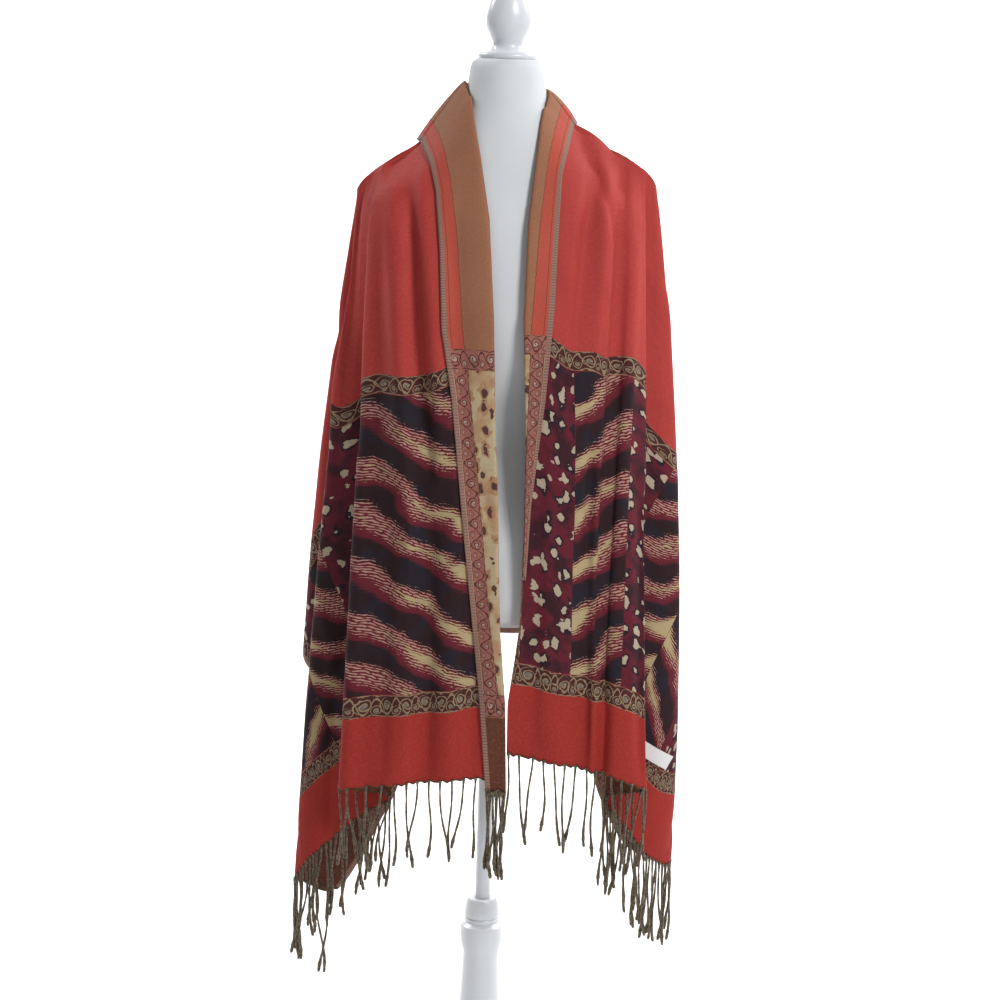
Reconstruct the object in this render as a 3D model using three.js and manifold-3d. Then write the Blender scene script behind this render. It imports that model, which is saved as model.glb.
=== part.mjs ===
// Pashmina shawl hanging open on a limbless dress form. Millimetres, +Z up, the form faces -Y.
// The origin is the middle of the underside of the round base, on the floor.
import * as THREE from 'three';
import Module from 'manifold-3d';
import { mergeVertices } from 'three/addons/utils/BufferGeometryUtils.js';

const wasm = await Module();
wasm.setup();

// Shawl: the flat cloth and the wall that stands for it
const CLOTH_LENGTH = 2000;
const WALL = 1.2;
const SEAM_GAP = 0.3;
const LAPEL_LIFT = 3.2;
const NECK_STEPS = 3;
const FALL_STEPS = 12;
const FALL_CROWDING = 1.45;
const SUPPORT_STEPS = 4;
const FORM_CLEARANCE = 3.4;
const NECK_SAG = { drop: 24, from: 80, to: 140 };

// Fringe
const STRAND_SPACING = 22;
const LAPEL_STRAND_SPACING = 5;
const STRAND_LENGTH = 105;
const STRAND_WIDTH = 3.4;
const STRIP_HEIGHT = 4;
const STRIP_GAP = 0.4;
const FOLDED_STRIP_GAP = 1.4;

// Label: a blank woven tab
const LABEL = { width: 46, height: 18, tilt: 33, x: 213, z: 625, wall: 0.7, lift: 3, first: 22, last: 26 };

// Dress form
const TORSO_SIDES = 36;
const TURNED_SIDES = 20;
// Torso sections from the bottom up: height, half width and half depth
const TORSO = [
  { z: 796, width: 150, depth: 98 },
  { z: 806, width: 160, depth: 106 },
  { z: 850, width: 162, depth: 107 },
  { z: 900, width: 148, depth: 102 },
  { z: 950, width: 128, depth: 90 },
  { z: 1010, width: 117, depth: 82 },
  { z: 1070, width: 130, depth: 91 },
  { z: 1125, width: 148, depth: 106 },
  { z: 1180, width: 158, depth: 113 },
  { z: 1235, width: 165, depth: 105 },
  { z: 1290, width: 170, depth: 92 },
  { z: 1312, width: 168, depth: 84 },
  { z: 1326, width: 160, depth: 78 },
  { z: 1342, width: 140, depth: 72 },
  { z: 1362, width: 110, depth: 66 },
  { z: 1386, width: 82, depth: 60 },
  { z: 1410, width: 62, depth: 54 },
  { z: 1432, width: 50, depth: 48 },
  { z: 1460, width: 47, depth: 46 },
  { z: 1478, width: 44.5, depth: 44 },
  { z: 1485, width: 38, depth: 37.5 },
];
// Turned parts: radius and height up the profile
const FINIAL = [
  [36, 1485.3], [36.5, 1489], [34, 1492], [22, 1496], [19, 1503], [22, 1511], [27, 1521], [28, 1531],
  [26.5, 1543], [22, 1556], [14, 1568], [6, 1574],
];
const POLE = [[9.8, 412.3], [9.8, 795.7]];
const COLUMN = [
  [30, 50.3], [34, 60], [33, 84], [22, 96], [18, 112], [22, 134], [29, 170], [31, 205], [29, 240], [26, 275],
  [23.2, 335], [25, 346], [27.5, 358], [27.5, 374], [22, 380], [21.5, 388], [23, 392], [21.5, 402], [19, 412],
];
const BASE = [[168, 0], [170, 4], [170, 16], [160, 22], [120, 30], [60, 42], [46, 50]];

// Fold columns of the shawl, from the lapel fold round to the middle of the back. A column is a line of the
// cloth that hangs down from the neck fold: `ridge` is where it passes over the shoulder, `hem` where it ends,
// and `s` is the hem's place along the flat cloth, from the middle of the back. `bow` pushes the middle
// outwards, `lift` keeps it off the form and `out` is the way it leans off the form. First the wearer's right:
const RIGHT_FRONT = [
  { ridge: [-43, -26, 1438], hem: [25, -124, 592], s: 1000, bow: 0, lift: 8, out: -90 },
  { ridge: [-62, -4, 1433], hem: [-8, -120, 606], s: 1000, bow: 0, lift: 7, out: -90 },
  { ridge: [-84, -3, 1406], hem: [-48, -125, 603], s: 1000, bow: 0, lift: 12, out: -90 },
  { ridge: [-104, -3, 1380], hem: [-85, -116, 598], s: 1000, bow: 0, lift: 9, out: -90 },
  { ridge: [-122, -4, 1366], hem: [-118, -124, 594], s: 1000, bow: 0, lift: 14, out: -90 },
  { ridge: [-136, -6, 1358], hem: [-150, -114, 589], s: 1000, bow: 0, lift: 11, out: -95 },
  { ridge: [-144, -10, 1354], hem: [-174, -116, 585], s: 1000, bow: 0, lift: 16, out: -105 },
  { ridge: [-148, -12, 1352], hem: [-182, -104, 584], s: 1000, bow: 0, lift: 15, out: -115 },
  { ridge: [-151, -11, 1350], hem: [-152, -90, 577], s: 1000, bow: 0, lift: 10, out: -110 },
  { ridge: [-154, -10, 1348], hem: [-118, -80, 566], s: 1000, bow: 0, lift: 5, out: -110 },
  { ridge: [-159, -9, 1345], hem: [-150, -66, 542], s: 1000, bow: 0, lift: 5, out: -120 },
  { ridge: [-165, -9, 1341], hem: [-188, -62, 508], s: 1000, bow: 2, lift: 8, out: -130 },
  { ridge: [-171, -8, 1336], hem: [-218, -56, 478], s: 1000, bow: 5, lift: 10, out: -145 },
  { ridge: [-176, -6, 1330], hem: [-241, -40, 442], s: 1000, bow: 8, lift: 12, out: -160 },
  { ridge: [-179, -3, 1325], hem: [-234, -22, 432], s: 1000, bow: 6, lift: 9, out: -170 },
  { ridge: [-180, 0, 1323], hem: [-188, -10, 420], s: 1000, bow: 0, lift: 6, out: 180 },
  { ridge: [-181, 4, 1322], hem: [-136, 0, 510], s: 880, bow: 0, lift: 4, out: 180 },
  { ridge: [-181, 8, 1322], hem: [-112, 14, 575], s: 770, bow: 0, lift: 4, out: 180 },
  { ridge: [-181, 12, 1322], hem: [-152, 28, 630], s: 680, bow: 2, lift: 6, out: 175 },
  { ridge: [-181, 16, 1323], hem: [-222, 34, 690], s: 585, bow: 6, lift: 10, out: 175 },
  { ridge: [-179, 21, 1325], hem: [-243, 54, 716], s: 540, bow: 9, lift: 13, out: 165 },
  { ridge: [-174, 26, 1329], hem: [-230, 80, 728], s: 490, bow: 6, lift: 12, out: 145 },
  { ridge: [-163, 31, 1337], hem: [-192, 102, 738], s: 420, bow: 0, lift: 10, out: 115 },
  { ridge: [-142, 36, 1350], hem: [-150, 118, 745], s: 340, bow: 0, lift: 14, out: 95 },
  { ridge: [-118, 41, 1366], hem: [-112, 106, 744], s: 255, bow: 0, lift: 7, out: 90 },
  { ridge: [-90, 47, 1386], hem: [-70, 121, 742], s: 170, bow: 0, lift: 15, out: 90 },
  { ridge: [-52, 55, 1408], hem: [-32, 110, 740], s: 85, bow: 0, lift: 8, out: 90 },
  { ridge: [0, 62, 1415], hem: [0, 116, 738], s: 0, bow: 0, lift: 12, out: 90 },
];
// The viewer's right, the wearer's left:
const LEFT_FRONT = [
  { ridge: [46, -26, 1427], hem: [25, -120, 640], s: 1000, bow: 0, lift: 8, out: -90 },
  { ridge: [66, -4, 1426], hem: [52, -116, 634], s: 1000, bow: 0, lift: 7, out: -90 },
  { ridge: [88, -3, 1402], hem: [84, -122, 628], s: 1000, bow: 0, lift: 11, out: -90 },
  { ridge: [112, -3, 1394], hem: [112, -114, 623], s: 1000, bow: 0, lift: 8, out: -90 },
  { ridge: [132, -4, 1377], hem: [130, -121, 619], s: 1000, bow: 0, lift: 12, out: -90 },
  { ridge: [146, -6, 1370], hem: [143, -108, 616], s: 1000, bow: 0, lift: 8, out: -88 },
  { ridge: [156, -8, 1366], hem: [156, -120, 612], s: 1000, bow: 0, lift: 14, out: -84 },
  { ridge: [164, -10, 1361], hem: [180, -117, 603], s: 1000, bow: 0, lift: 15, out: -78 },
  { ridge: [170, -11, 1357], hem: [200, -104, 592], s: 1000, bow: 0, lift: 14, out: -66 },
  { ridge: [173, -10, 1355], hem: [178, -88, 584], s: 1000, bow: 0, lift: 9, out: -70 },
  { ridge: [176, -9, 1352], hem: [150, -76, 570], s: 1000, bow: 0, lift: 5, out: -70 },
  { ridge: [180, -8, 1348], hem: [188, -62, 518], s: 1000, bow: 6, lift: 8, out: -50 },
  { ridge: [184, -7, 1343], hem: [216, -54, 484], s: 1000, bow: 14, lift: 10, out: -35 },
  { ridge: [187, -4, 1337], hem: [239, -32, 474], s: 1000, bow: 19, lift: 12, out: -20 },
  { ridge: [188, 0, 1334], hem: [232, -12, 476], s: 1000, bow: 16, lift: 9, out: -8 },
  { ridge: [188, 5, 1333], hem: [184, 0, 486], s: 1000, bow: 6, lift: 6, out: 0 },
  { ridge: [188, 9, 1333], hem: [138, 16, 586], s: 800, bow: 2, lift: 4, out: 0 },
  { ridge: [188, 14, 1334], hem: [186, 30, 640], s: 690, bow: 4, lift: 7, out: 5 },
  { ridge: [187, 19, 1335], hem: [226, 46, 694], s: 580, bow: 8, lift: 11, out: 10 },
  { ridge: [182, 25, 1339], hem: [228, 74, 724], s: 500, bow: 7, lift: 12, out: 30 },
  { ridge: [170, 31, 1347], hem: [198, 98, 736], s: 430, bow: 0, lift: 10, out: 62 },
  { ridge: [148, 36, 1358], hem: [158, 117, 744], s: 345, bow: 0, lift: 14, out: 85 },
  { ridge: [122, 41, 1370], hem: [120, 105, 744], s: 262, bow: 0, lift: 7, out: 90 },
  { ridge: [92, 47, 1387], hem: [80, 120, 742], s: 175, bow: 0, lift: 14, out: 90 },
  { ridge: [52, 55, 1408], hem: [38, 109, 740], s: 88, bow: 0, lift: 8, out: 90 },
  { ridge: [0, 62, 1415], hem: [0, 116, 738], s: 0, bow: 0, lift: 12, out: 90 },
];

// Inner edge of each front, where the cloth folds outwards into the lapel, and the lapel's free selvedge, as
// x at heights z from the neck down to `end`. The selvedge goes on round the neck as the collar, to the middle
// of the back, through the points of `collar`.
const RIGHT_EDGE = {
  fold: [[-46, 1457], [-38, 1410], [-29, 1368], [-16, 1296], [-7, 1177], [-3, 1083], [5, 942], [11, 807],
    [21, 702], [25, 592]],
  selvedge: [[-104, 1380], [-89, 1354], [-81, 1324], [-74, 1256], [-69, 1164], [-55, 1083], [-36, 917],
    [-11, 709], [0, 592]],
  end: 592,
  collar: [[-104, -4, 1380], [-106, 16, 1385], [-92, 42, 1399], [-66, 60, 1414], [-34, 70, 1420],
    [0, 73, 1422]],
};
const LEFT_EDGE = {
  fold: [[49, 1446], [43, 1412], [31, 1296], [29, 1177], [36, 1037], [38, 919], [37, 807], [24, 705],
    [25, 640]],
  selvedge: [[84, 1406], [70, 1349], [68, 1305], [65, 1190], [58, 1083], [45, 955], [41, 850]],
  end: 860,
  collar: [[84, -4, 1406], [86, 18, 1409], [78, 42, 1414], [60, 58, 1420], [32, 70, 1422], [0, 73, 1422]],
};
const NECK_FOLD = { radius: 57, height: 1452, start: -4 };
const LEVEL_LAPEL_HEIGHT = 1164;
const LAPEL_STEPS = 3;
const COLUMN_STEPS = 2;
const SEAM_COLUMNS = { right: 18, left: 18 };

const group = new THREE.Group();

function material(color, roughness, metalness = 0) {
  return new THREE.MeshStandardMaterial({ color, roughness, metalness, side: THREE.DoubleSide });
}

function addMesh(name, geometry, finish) {
  const mesh = new THREE.Mesh(geometry, finish);
  mesh.name = name;
  group.add(mesh);
}

function mix(a, b, f) {
  return a + (b - a) * f;
}

function mixPoints(a, b, f) {
  return a.map((value, axis) => mix(value, b[axis], f));
}

// Value at x on the straight lines between [value, height] rows, heights falling
function atHeight(rows, z) {
  const last = rows.length - 1;
  if (z >= rows[0][1]) return rows[0][0];
  if (z <= rows[last][1]) return rows[last][0];
  const k = rows.findIndex((row) => row[1] <= z);
  return mix(rows[k][0], rows[k - 1][0], (z - rows[k][1]) / (rows[k - 1][1] - rows[k][1]));
}

// Smooth curve through evenly numbered values, at position p
function splineAt(values, p) {
  const last = values.length - 1;
  const k = Math.min(Math.floor(p), last - 1);
  const f = p - k;
  const p0 = values[Math.max(k - 1, 0)];
  const p1 = values[k];
  const p2 = values[k + 1];
  const p3 = values[Math.min(k + 2, last)];
  const slope1 = (p2 - p0) / 2;
  const slope2 = (p3 - p1) / 2;
  const rise = p2 - p1;
  return p1 + f * (slope1 + f * (3 * rise - 2 * slope1 - slope2 + f * (slope1 + slope2 - 2 * rise)));
}

function splinePoint(points, p) {
  return [0, 1, 2].map((axis) => splineAt(points.map((point) => point[axis]), p));
}

// Torso half width and half depth at a height
function torsoAt(z) {
  if (z < TORSO[0].z || z > TORSO[TORSO.length - 1].z) return null;
  let k = 1;
  while (TORSO[k].z < z) k += 1;
  const f = (z - TORSO[k - 1].z) / (TORSO[k].z - TORSO[k - 1].z);
  return {
    width: mix(TORSO[k - 1].width, TORSO[k].width, f),
    depth: mix(TORSO[k - 1].depth, TORSO[k].depth, f),
  };
}

// How far a point has to move along the level direction [dx, dy] to stand `room` off the torso
function pushOut(point, direction, room) {
  const section = torsoAt(point[2]);
  if (!section) return 0;
  const a = section.width + room;
  const b = section.depth + room;
  const [x, y] = point;
  const [dx, dy] = direction;
  if ((x / a) ** 2 + (y / b) ** 2 >= 1) return 0;
  const qa = (dx / a) ** 2 + (dy / b) ** 2;
  const qb = (x * dx) / a ** 2 + (y * dy) / b ** 2;
  const qc = (x / a) ** 2 + (y / b) ** 2 - 1;
  return (-qb + Math.sqrt(qb ** 2 - qa * qc)) / qa;
}

// Taut line over a row of supports: the lowest bulging-out curve that covers them all
function tautOver(heights) {
  const place = heights.map((_, k) => k ** FALL_CROWDING);
  return heights.map((own, i) => {
    let best = own;
    for (let j = 0; j < i; j += 1) {
      for (let k = i + 1; k < heights.length; k += 1) {
        best = Math.max(best, mix(heights[j], heights[k], (place[i] - place[j]) / (place[k] - place[j])));
      }
    }
    return best;
  });
}

// One column of cloth: its points from the neck fold over the shoulder ridge down to the hem
function columnPoints(side, p, edge) {
  const ridge = splinePoint(side.map((row) => row.ridge), p);
  const hem = splinePoint(side.map((row) => row.hem), p);
  const bow = splineAt(side.map((row) => row.bow), p);
  const lift = splineAt(side.map((row) => row.lift), p);
  const lean = THREE.MathUtils.degToRad(splineAt(side.map((row) => row.out), p));
  const out = [Math.cos(lean), Math.sin(lean)];
  const last = side.length - 1;
  const around = p / last;
  const turn = THREE.MathUtils.degToRad(mix(NECK_FOLD.start, 90, around ** 1.25));
  const [foldX, foldZ] = edge.fold[0];
  const handed = Math.sign(foldX);
  const neckHeight = mix(foldZ, NECK_FOLD.height, Math.sin(Math.PI * 0.5 * around));
  const neckWidth = mix(Math.abs(foldX), NECK_FOLD.radius, Math.min(1, around * 1.5));
  const neck = [handed * neckWidth * Math.cos(turn), NECK_FOLD.radius * Math.sin(turn), neckHeight];
  const beside = (Math.abs(ridge[0]) - NECK_SAG.from) / (NECK_SAG.to - NECK_SAG.from);
  const far = THREE.MathUtils.clamp(beside, 0, 1);
  const points = [];
  for (let k = 0; k < NECK_STEPS; k += 1) {
    const f = k / NECK_STEPS;
    const point = mixPoints(neck, ridge, f);
    point[2] -= NECK_SAG.drop * far * 6.75 * f * (1 - f) ** 2;
    const radial = Math.hypot(point[0], point[1]);
    const push = pushOut(point, [point[0] / radial, point[1] / radial], FORM_CLEARANCE);
    points.push([point[0] * (1 + push / radial), point[1] * (1 + push / radial), point[2]]);
  }
  const falls = [];
  const supports = [];
  for (let k = 0; k <= FALL_STEPS * SUPPORT_STEPS; k += 1) {
    const u = (k / (FALL_STEPS * SUPPORT_STEPS)) ** FALL_CROWDING;
    const point = mixPoints(ridge, hem, u);
    point[0] += handed * bow * 4 * u * (1 - u);
    if (p < 1) {
      point[0] = mix(atHeight(edge.fold, point[2]), point[0], p);
    }
    const room = FORM_CLEARANCE + lift * Math.min(1, u * 5);
    falls.push(point);
    supports.push(pushOut(point, out, room));
  }
  tautOver(supports).forEach((push, k) => {
    if (k % SUPPORT_STEPS > 0) return;
    points.push([falls[k][0] + out[0] * push, falls[k][1] + out[1] * push, falls[k][2]]);
  });
  return points;
}

// Sheet of cloth before it gets its wall: shared points, and the quads of each named stretch
class Sheet {
  constructor() {
    this.points = [];
    this.stretches = new Map();
    this.pulls = new Map();
  }

  add(point) {
    this.points.push(new THREE.Vector3(...point));
    return this.points.length - 1;
  }

  grid(name, rows, flip) {
    if (!this.stretches.has(name)) this.stretches.set(name, []);
    for (let r = 0; r + 1 < rows.length; r += 1) {
      for (let c = 0; c + 1 < rows[r].length; c += 1) {
        const quad = [rows[r][c], rows[r + 1][c], rows[r + 1][c + 1], rows[r][c + 1]];
        this.stretches.get(name).push(flip ? quad.reverse() : quad);
      }
    }
  }

  // A point on a seam stands half the seam gap back towards its neighbour in the same stretch
  pull(name, id, neighbour) {
    const step = this.points[neighbour].clone().sub(this.points[id]);
    this.pulls.set(`${name} ${id}`, step.setLength(SEAM_GAP / 2 + 0.02));
  }

  normals() {
    const normals = this.points.map(() => new THREE.Vector3());
    for (const quad of [...this.stretches.values()].flat()) {
      const [a, b, c, d] = quad.map((k) => this.points[k]);
      const normal = new THREE.Vector3().crossVectors(c.clone().sub(a), d.clone().sub(b));
      quad.forEach((k) => normals[k].add(normal));
    }
    return normals.map((normal) => normal.normalize());
  }

  // Closed body of one stretch: the sheet moved half a wall to each side, with a rim round its edge
  solid(name, wall) {
    const normals = this.normals();
    const quads = this.stretches.get(name);
    const used = [...new Set(quads.flat())];
    const slot = new Map(used.map((k, place) => [k, place]));
    const positions = [];
    for (const side of [0.5, -0.5]) {
      for (const k of used) {
        const point = this.points[k].clone().addScaledVector(normals[k], side * wall);
        const step = this.pulls.get(`${name} ${k}`);
        if (step) point.add(step);
        positions.push(...point.toArray());
      }
    }
    const back = used.length;
    const indices = [];
    const rim = new Map();
    for (const quad of quads) {
      const [a, b, c, d] = quad.map((k) => slot.get(k));
      indices.push(a, b, c, a, c, d);
      indices.push(back + a, back + c, back + b, back + a, back + d, back + c);
      for (const [from, to] of [[a, b], [b, c], [c, d], [d, a]]) {
        if (rim.has(`${to} ${from}`)) rim.delete(`${to} ${from}`);
        else rim.set(`${from} ${to}`, [from, to]);
      }
    }
    for (const [from, to] of rim.values()) {
      indices.push(from, back + from, back + to, from, back + to, to);
    }
    const geometry = new THREE.BufferGeometry();
    geometry.setAttribute('position', new THREE.Float32BufferAttribute(positions, 3));
    geometry.setIndex(indices);
    return geometry;
  }
}

// All columns of one side, finer than the fold table
function sideColumns(side, edge) {
  const count = (side.length - 1) * COLUMN_STEPS;
  return Array.from({ length: count + 1 }, (_, k) => columnPoints(side, k / COLUMN_STEPS, edge));
}

// Depth y of the cloth's front surface at x and z, from the columns between `first` and `last`
function surfaceDepth(columns, x, z, first = 0, last = columns.length - 1) {
  const level = columns.slice(first, last + 1).map((column) => {
    const found = column.findIndex((point) => point[2] <= z);
    const k = found < 0 ? column.length - 1 : Math.max(1, found);
    const [above, below] = [column[k - 1], column[k]];
    const f = Math.min(1, Math.max(0, (z - below[2]) / (above[2] - below[2] || 1)));
    return mixPoints(below, above, f);
  });
  let depth = null;
  for (let k = 1; k < level.length; k += 1) {
    const [a, b] = [level[k - 1], level[k]];
    const f = (x - a[0]) / (b[0] - a[0]);
    if (f >= 0 && f <= 1) {
      const y = mix(a[1], b[1], f);
      depth = depth === null ? y : Math.min(depth, y);
    }
  }
  return depth ?? level[0][1];
}

// Lapel and collar of one side: strips from the fold line to the selvedge, held off the cloth under them
function lapelStrips(columns, edge) {
  const drop = edge.fold[0][1] - edge.selvedge[0][1];
  const strips = [];
  for (let row = columns[0].length - 1; row >= 1; row -= 1) {
    const fold = columns[0][row];
    if (fold[2] < edge.end - 1) continue;
    const high = Math.max(0, (fold[2] - LEVEL_LAPEL_HEIGHT) / (edge.fold[0][1] - LEVEL_LAPEL_HEIGHT));
    const freeZ = fold[2] - drop * high ** 1.5;
    const free = [atHeight(edge.selvedge, freeZ), fold[1], freeZ];
    const rise = THREE.MathUtils.degToRad(80 * high ** 2);
    const strip = [];
    for (let k = 1; k <= LAPEL_STEPS; k += 1) {
      const [x, , z] = mixPoints(fold, free, k / LAPEL_STEPS);
      const lift = LAPEL_LIFT * Math.min(1, (1.6 * k) / LAPEL_STEPS);
      strip.push([x, surfaceDepth(columns, x, z) - lift * Math.cos(rise), z + lift * Math.sin(rise)]);
    }
    strips.push({ column: 0, row, strip });
  }
  for (let column = 0; column < columns.length; column += 1) {
    const around = column / (columns.length - 1);
    const fold = columns[column][0];
    const free = splinePoint(edge.collar, around * (edge.collar.length - 1));
    const radial = Math.hypot(fold[0], fold[1]);
    const strip = [];
    for (let k = 1; k <= LAPEL_STEPS; k += 1) {
      const f = k / LAPEL_STEPS;
      const swell = LAPEL_LIFT * Math.sin(Math.PI * f) * 1.2;
      const [x, y, z] = mixPoints(fold, free, f);
      strip.push([x + (swell * fold[0]) / radial, y + (swell * fold[1]) / radial, z + swell]);
    }
    strips.push({ column, row: 0, strip });
  }
  return strips;
}

// Adds one side of the shawl: its columns, and the strips of its lapel and collar, split at the seam column
// into a front and a half of the back. The middle of the back is shared with the side built before it.
function addSide(sheet, front, columns, strips, seam, handed, middle) {
  const last = columns.length - 1;
  const ids = columns.map((column, c) => (
    c === last && middle ? middle.column : column.map((point) => sheet.add(point))));
  const stripIds = strips.map(({ column, row, strip }) => {
    const free = column === last && middle ? middle.collar : strip.map((point) => sheet.add(point));
    return [ids[column][row], ...free];
  });
  const cut = strips.findIndex(({ column }) => column === seam);
  const flip = handed > 0;
  sheet.grid(front, ids.slice(0, seam + 1), flip);
  sheet.grid(front, stripIds.slice(0, cut + 1), !flip);
  sheet.grid('shawl_back', ids.slice(seam), flip);
  sheet.grid('shawl_back', stripIds.slice(cut), !flip);
  ids[seam].forEach((id, row) => {
    sheet.pull(front, id, ids[seam - 1][row]);
    sheet.pull('shawl_back', id, ids[seam + 1][row]);
  });
  stripIds[cut].slice(1).forEach((id, k) => {
    sheet.pull(front, id, stripIds[cut - 1][k + 1]);
    sheet.pull('shawl_back', id, stripIds[cut + 1][k + 1]);
  });
  return { column: ids[last], collar: stripIds[stripIds.length - 1].slice(1) };
}

const rightColumns = sideColumns(RIGHT_FRONT, RIGHT_EDGE);
const leftColumns = sideColumns(LEFT_FRONT, LEFT_EDGE);
const rightStrips = lapelStrips(rightColumns, RIGHT_EDGE);
const leftStrips = lapelStrips(leftColumns, LEFT_EDGE);

function addShawl() {
  const cloth = material(0xb23e38, 0.75);
  const sheet = new Sheet();
  const rightSeam = SEAM_COLUMNS.right * COLUMN_STEPS;
  const leftSeam = SEAM_COLUMNS.left * COLUMN_STEPS;
  const middle = addSide(sheet, 'shawl_right_front', rightColumns, rightStrips, rightSeam, -1);
  addSide(sheet, 'shawl_left_front', leftColumns, leftStrips, leftSeam, 1, middle);
  for (const name of sheet.stretches.keys()) {
    addMesh(name, sheet.solid(name, WALL), cloth);
  }
}
addShawl();

// Solid of the modeller from a closed mesh
function toManifold(geometry) {
  const plain = geometry.clone();
  plain.deleteAttribute('normal');
  plain.deleteAttribute('uv');
  const merged = mergeVertices(plain, 1e-4);
  return new wasm.Manifold(new wasm.Mesh({
    numProp: 3,
    vertProperties: new Float32Array(merged.attributes.position.array),
    triVerts: new Uint32Array(merged.index.array),
  }));
}

function fromManifold(solid) {
  const mesh = solid.getMesh();
  const geometry = new THREE.BufferGeometry();
  geometry.setAttribute('position', new THREE.Float32BufferAttribute(mesh.vertProperties, 3));
  geometry.setIndex(Array.from(mesh.triVerts));
  return geometry;
}

// One twisted strand as a three-sided bar that narrows to its end
function strand(top, lean, length) {
  const bar = new THREE.CylinderGeometry(STRAND_WIDTH / 2, STRAND_WIDTH / 3, length, 3, 1);
  bar.rotateX(Math.PI / 2);
  bar.translate(0, 0, -length / 2);
  const turn = new THREE.Matrix4().makeRotationFromEuler(new THREE.Euler(lean[1], -lean[0], 0));
  bar.applyMatrix4(turn);
  bar.translate(top.x, top.y, top.z);
  return bar;
}

// Fringe under a stretch of hem: a narrow strip parted from the cloth, with a strand at every spacing. Each
// pair is a point above the hem and the hem point under it.
function addFringe(name, pairs, spacing, gap) {
  const line = pairs.map(([above, end]) => {
    const down = new THREE.Vector3(...end).sub(new THREE.Vector3(...above)).normalize();
    const start = new THREE.Vector3(...end).addScaledVector(down, gap);
    return { start, finish: start.clone().addScaledVector(down, STRIP_HEIGHT), down };
  });
  const sheet = new Sheet();
  const rows = line.map(({ start, finish }) => [sheet.add(start.toArray()), sheet.add(finish.toArray())]);
  sheet.grid(name, rows, false);
  let solid = toManifold(sheet.solid(name, WALL));
  const lengths = [0];
  for (let k = 1; k < line.length; k += 1) {
    lengths.push(lengths[k - 1] + line[k].start.distanceTo(line[k - 1].start));
  }
  const total = lengths[lengths.length - 1];
  const count = Math.floor(total / spacing);
  for (let n = 0; n < count; n += 1) {
    const reach = (n + 0.5) * (total / count);
    const k = lengths.findIndex((length) => length >= reach);
    const f = (reach - lengths[k - 1]) / (lengths[k] - lengths[k - 1]);
    const top = line[k - 1].start.clone().lerp(line[k].start, f);
    top.addScaledVector(line[k - 1].down, STRIP_HEIGHT / 3);
    const lean = [0.04 * Math.sin(n * 2.4), 0.04 * Math.cos(n * 3.1)];
    const length = STRAND_LENGTH * (1 + 0.08 * Math.sin(n * 1.7));
    solid = solid.add(toManifold(strand(top, lean, length)));
  }
  addMesh(name, fromManifold(solid), material(0x55503c, 0.9));
}

// Hem of one end of the shawl, from a column near the lapel fold to the corner of the cloth
function endHem(side, columns, first) {
  const ends = side.filter((row) => row.s === CLOTH_LENGTH / 2).length;
  return columns.slice(first, (ends - 1) * COLUMN_STEPS + 1).map((column) => column.slice(-2));
}

addFringe('fringe_right', endHem(RIGHT_FRONT, rightColumns, COLUMN_STEPS), STRAND_SPACING, FOLDED_STRIP_GAP);
addFringe('fringe_left', endHem(LEFT_FRONT, leftColumns, 0), STRAND_SPACING, FOLDED_STRIP_GAP);
const lapelHem = rightStrips[0].strip.map((end, k) => [rightStrips[1].strip[k], end]);
addFringe('fringe_lapel', lapelHem.reverse(), LAPEL_STRAND_SPACING, STRIP_GAP);

// Label lying on the outer section of the left front, made from points of the cloth moved out
function addLabel() {
  const tilt = THREE.MathUtils.degToRad(LABEL.tilt);
  const sheet = new Sheet();
  const rows = [];
  for (let i = 0; i <= 4; i += 1) {
    const row = [];
    for (let j = 0; j <= 2; j += 1) {
      const along = (i / 4 - 0.5) * LABEL.width;
      const across = (j / 2 - 0.5) * LABEL.height;
      const x = LABEL.x + along * Math.cos(tilt) - across * Math.sin(tilt);
      const z = LABEL.z - along * Math.sin(tilt) - across * Math.cos(tilt);
      row.push(sheet.add([x, surfaceDepth(leftColumns, x, z, LABEL.first, LABEL.last) - LABEL.lift, z]));
    }
    rows.push(row);
  }
  sheet.grid('sewn_label', rows, true);
  addMesh('sewn_label', sheet.solid('sewn_label', LABEL.wall), material(0xf0eeea, 0.8));
}
addLabel();

// Torso: oval sections joined ring by ring, closed top and bottom
function addTorso() {
  const positions = [];
  const indices = [];
  for (const { z, width, depth } of TORSO) {
    for (let k = 0; k < TORSO_SIDES; k += 1) {
      const angle = (k / TORSO_SIDES) * 2 * Math.PI;
      positions.push(width * Math.cos(angle), depth * Math.sin(angle), z);
    }
  }
  const ring = (r, k) => r * TORSO_SIDES + (k % TORSO_SIDES);
  for (let r = 0; r + 1 < TORSO.length; r += 1) {
    for (let k = 0; k < TORSO_SIDES; k += 1) {
      indices.push(ring(r, k), ring(r, k + 1), ring(r + 1, k + 1));
      indices.push(ring(r, k), ring(r + 1, k + 1), ring(r + 1, k));
    }
  }
  const top = TORSO.length - 1;
  const bottomCentre = positions.length / 3;
  positions.push(0, 0, TORSO[0].z, 0, 0, TORSO[top].z);
  for (let k = 0; k < TORSO_SIDES; k += 1) {
    indices.push(bottomCentre, ring(0, k + 1), ring(0, k));
    indices.push(bottomCentre + 1, ring(top, k), ring(top, k + 1));
  }
  const geometry = new THREE.BufferGeometry();
  geometry.setAttribute('position', new THREE.Float32BufferAttribute(positions, 3));
  geometry.setIndex(indices);
  addMesh('form_torso', geometry, material(0xf2efea, 0.85));
}
addTorso();

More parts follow.
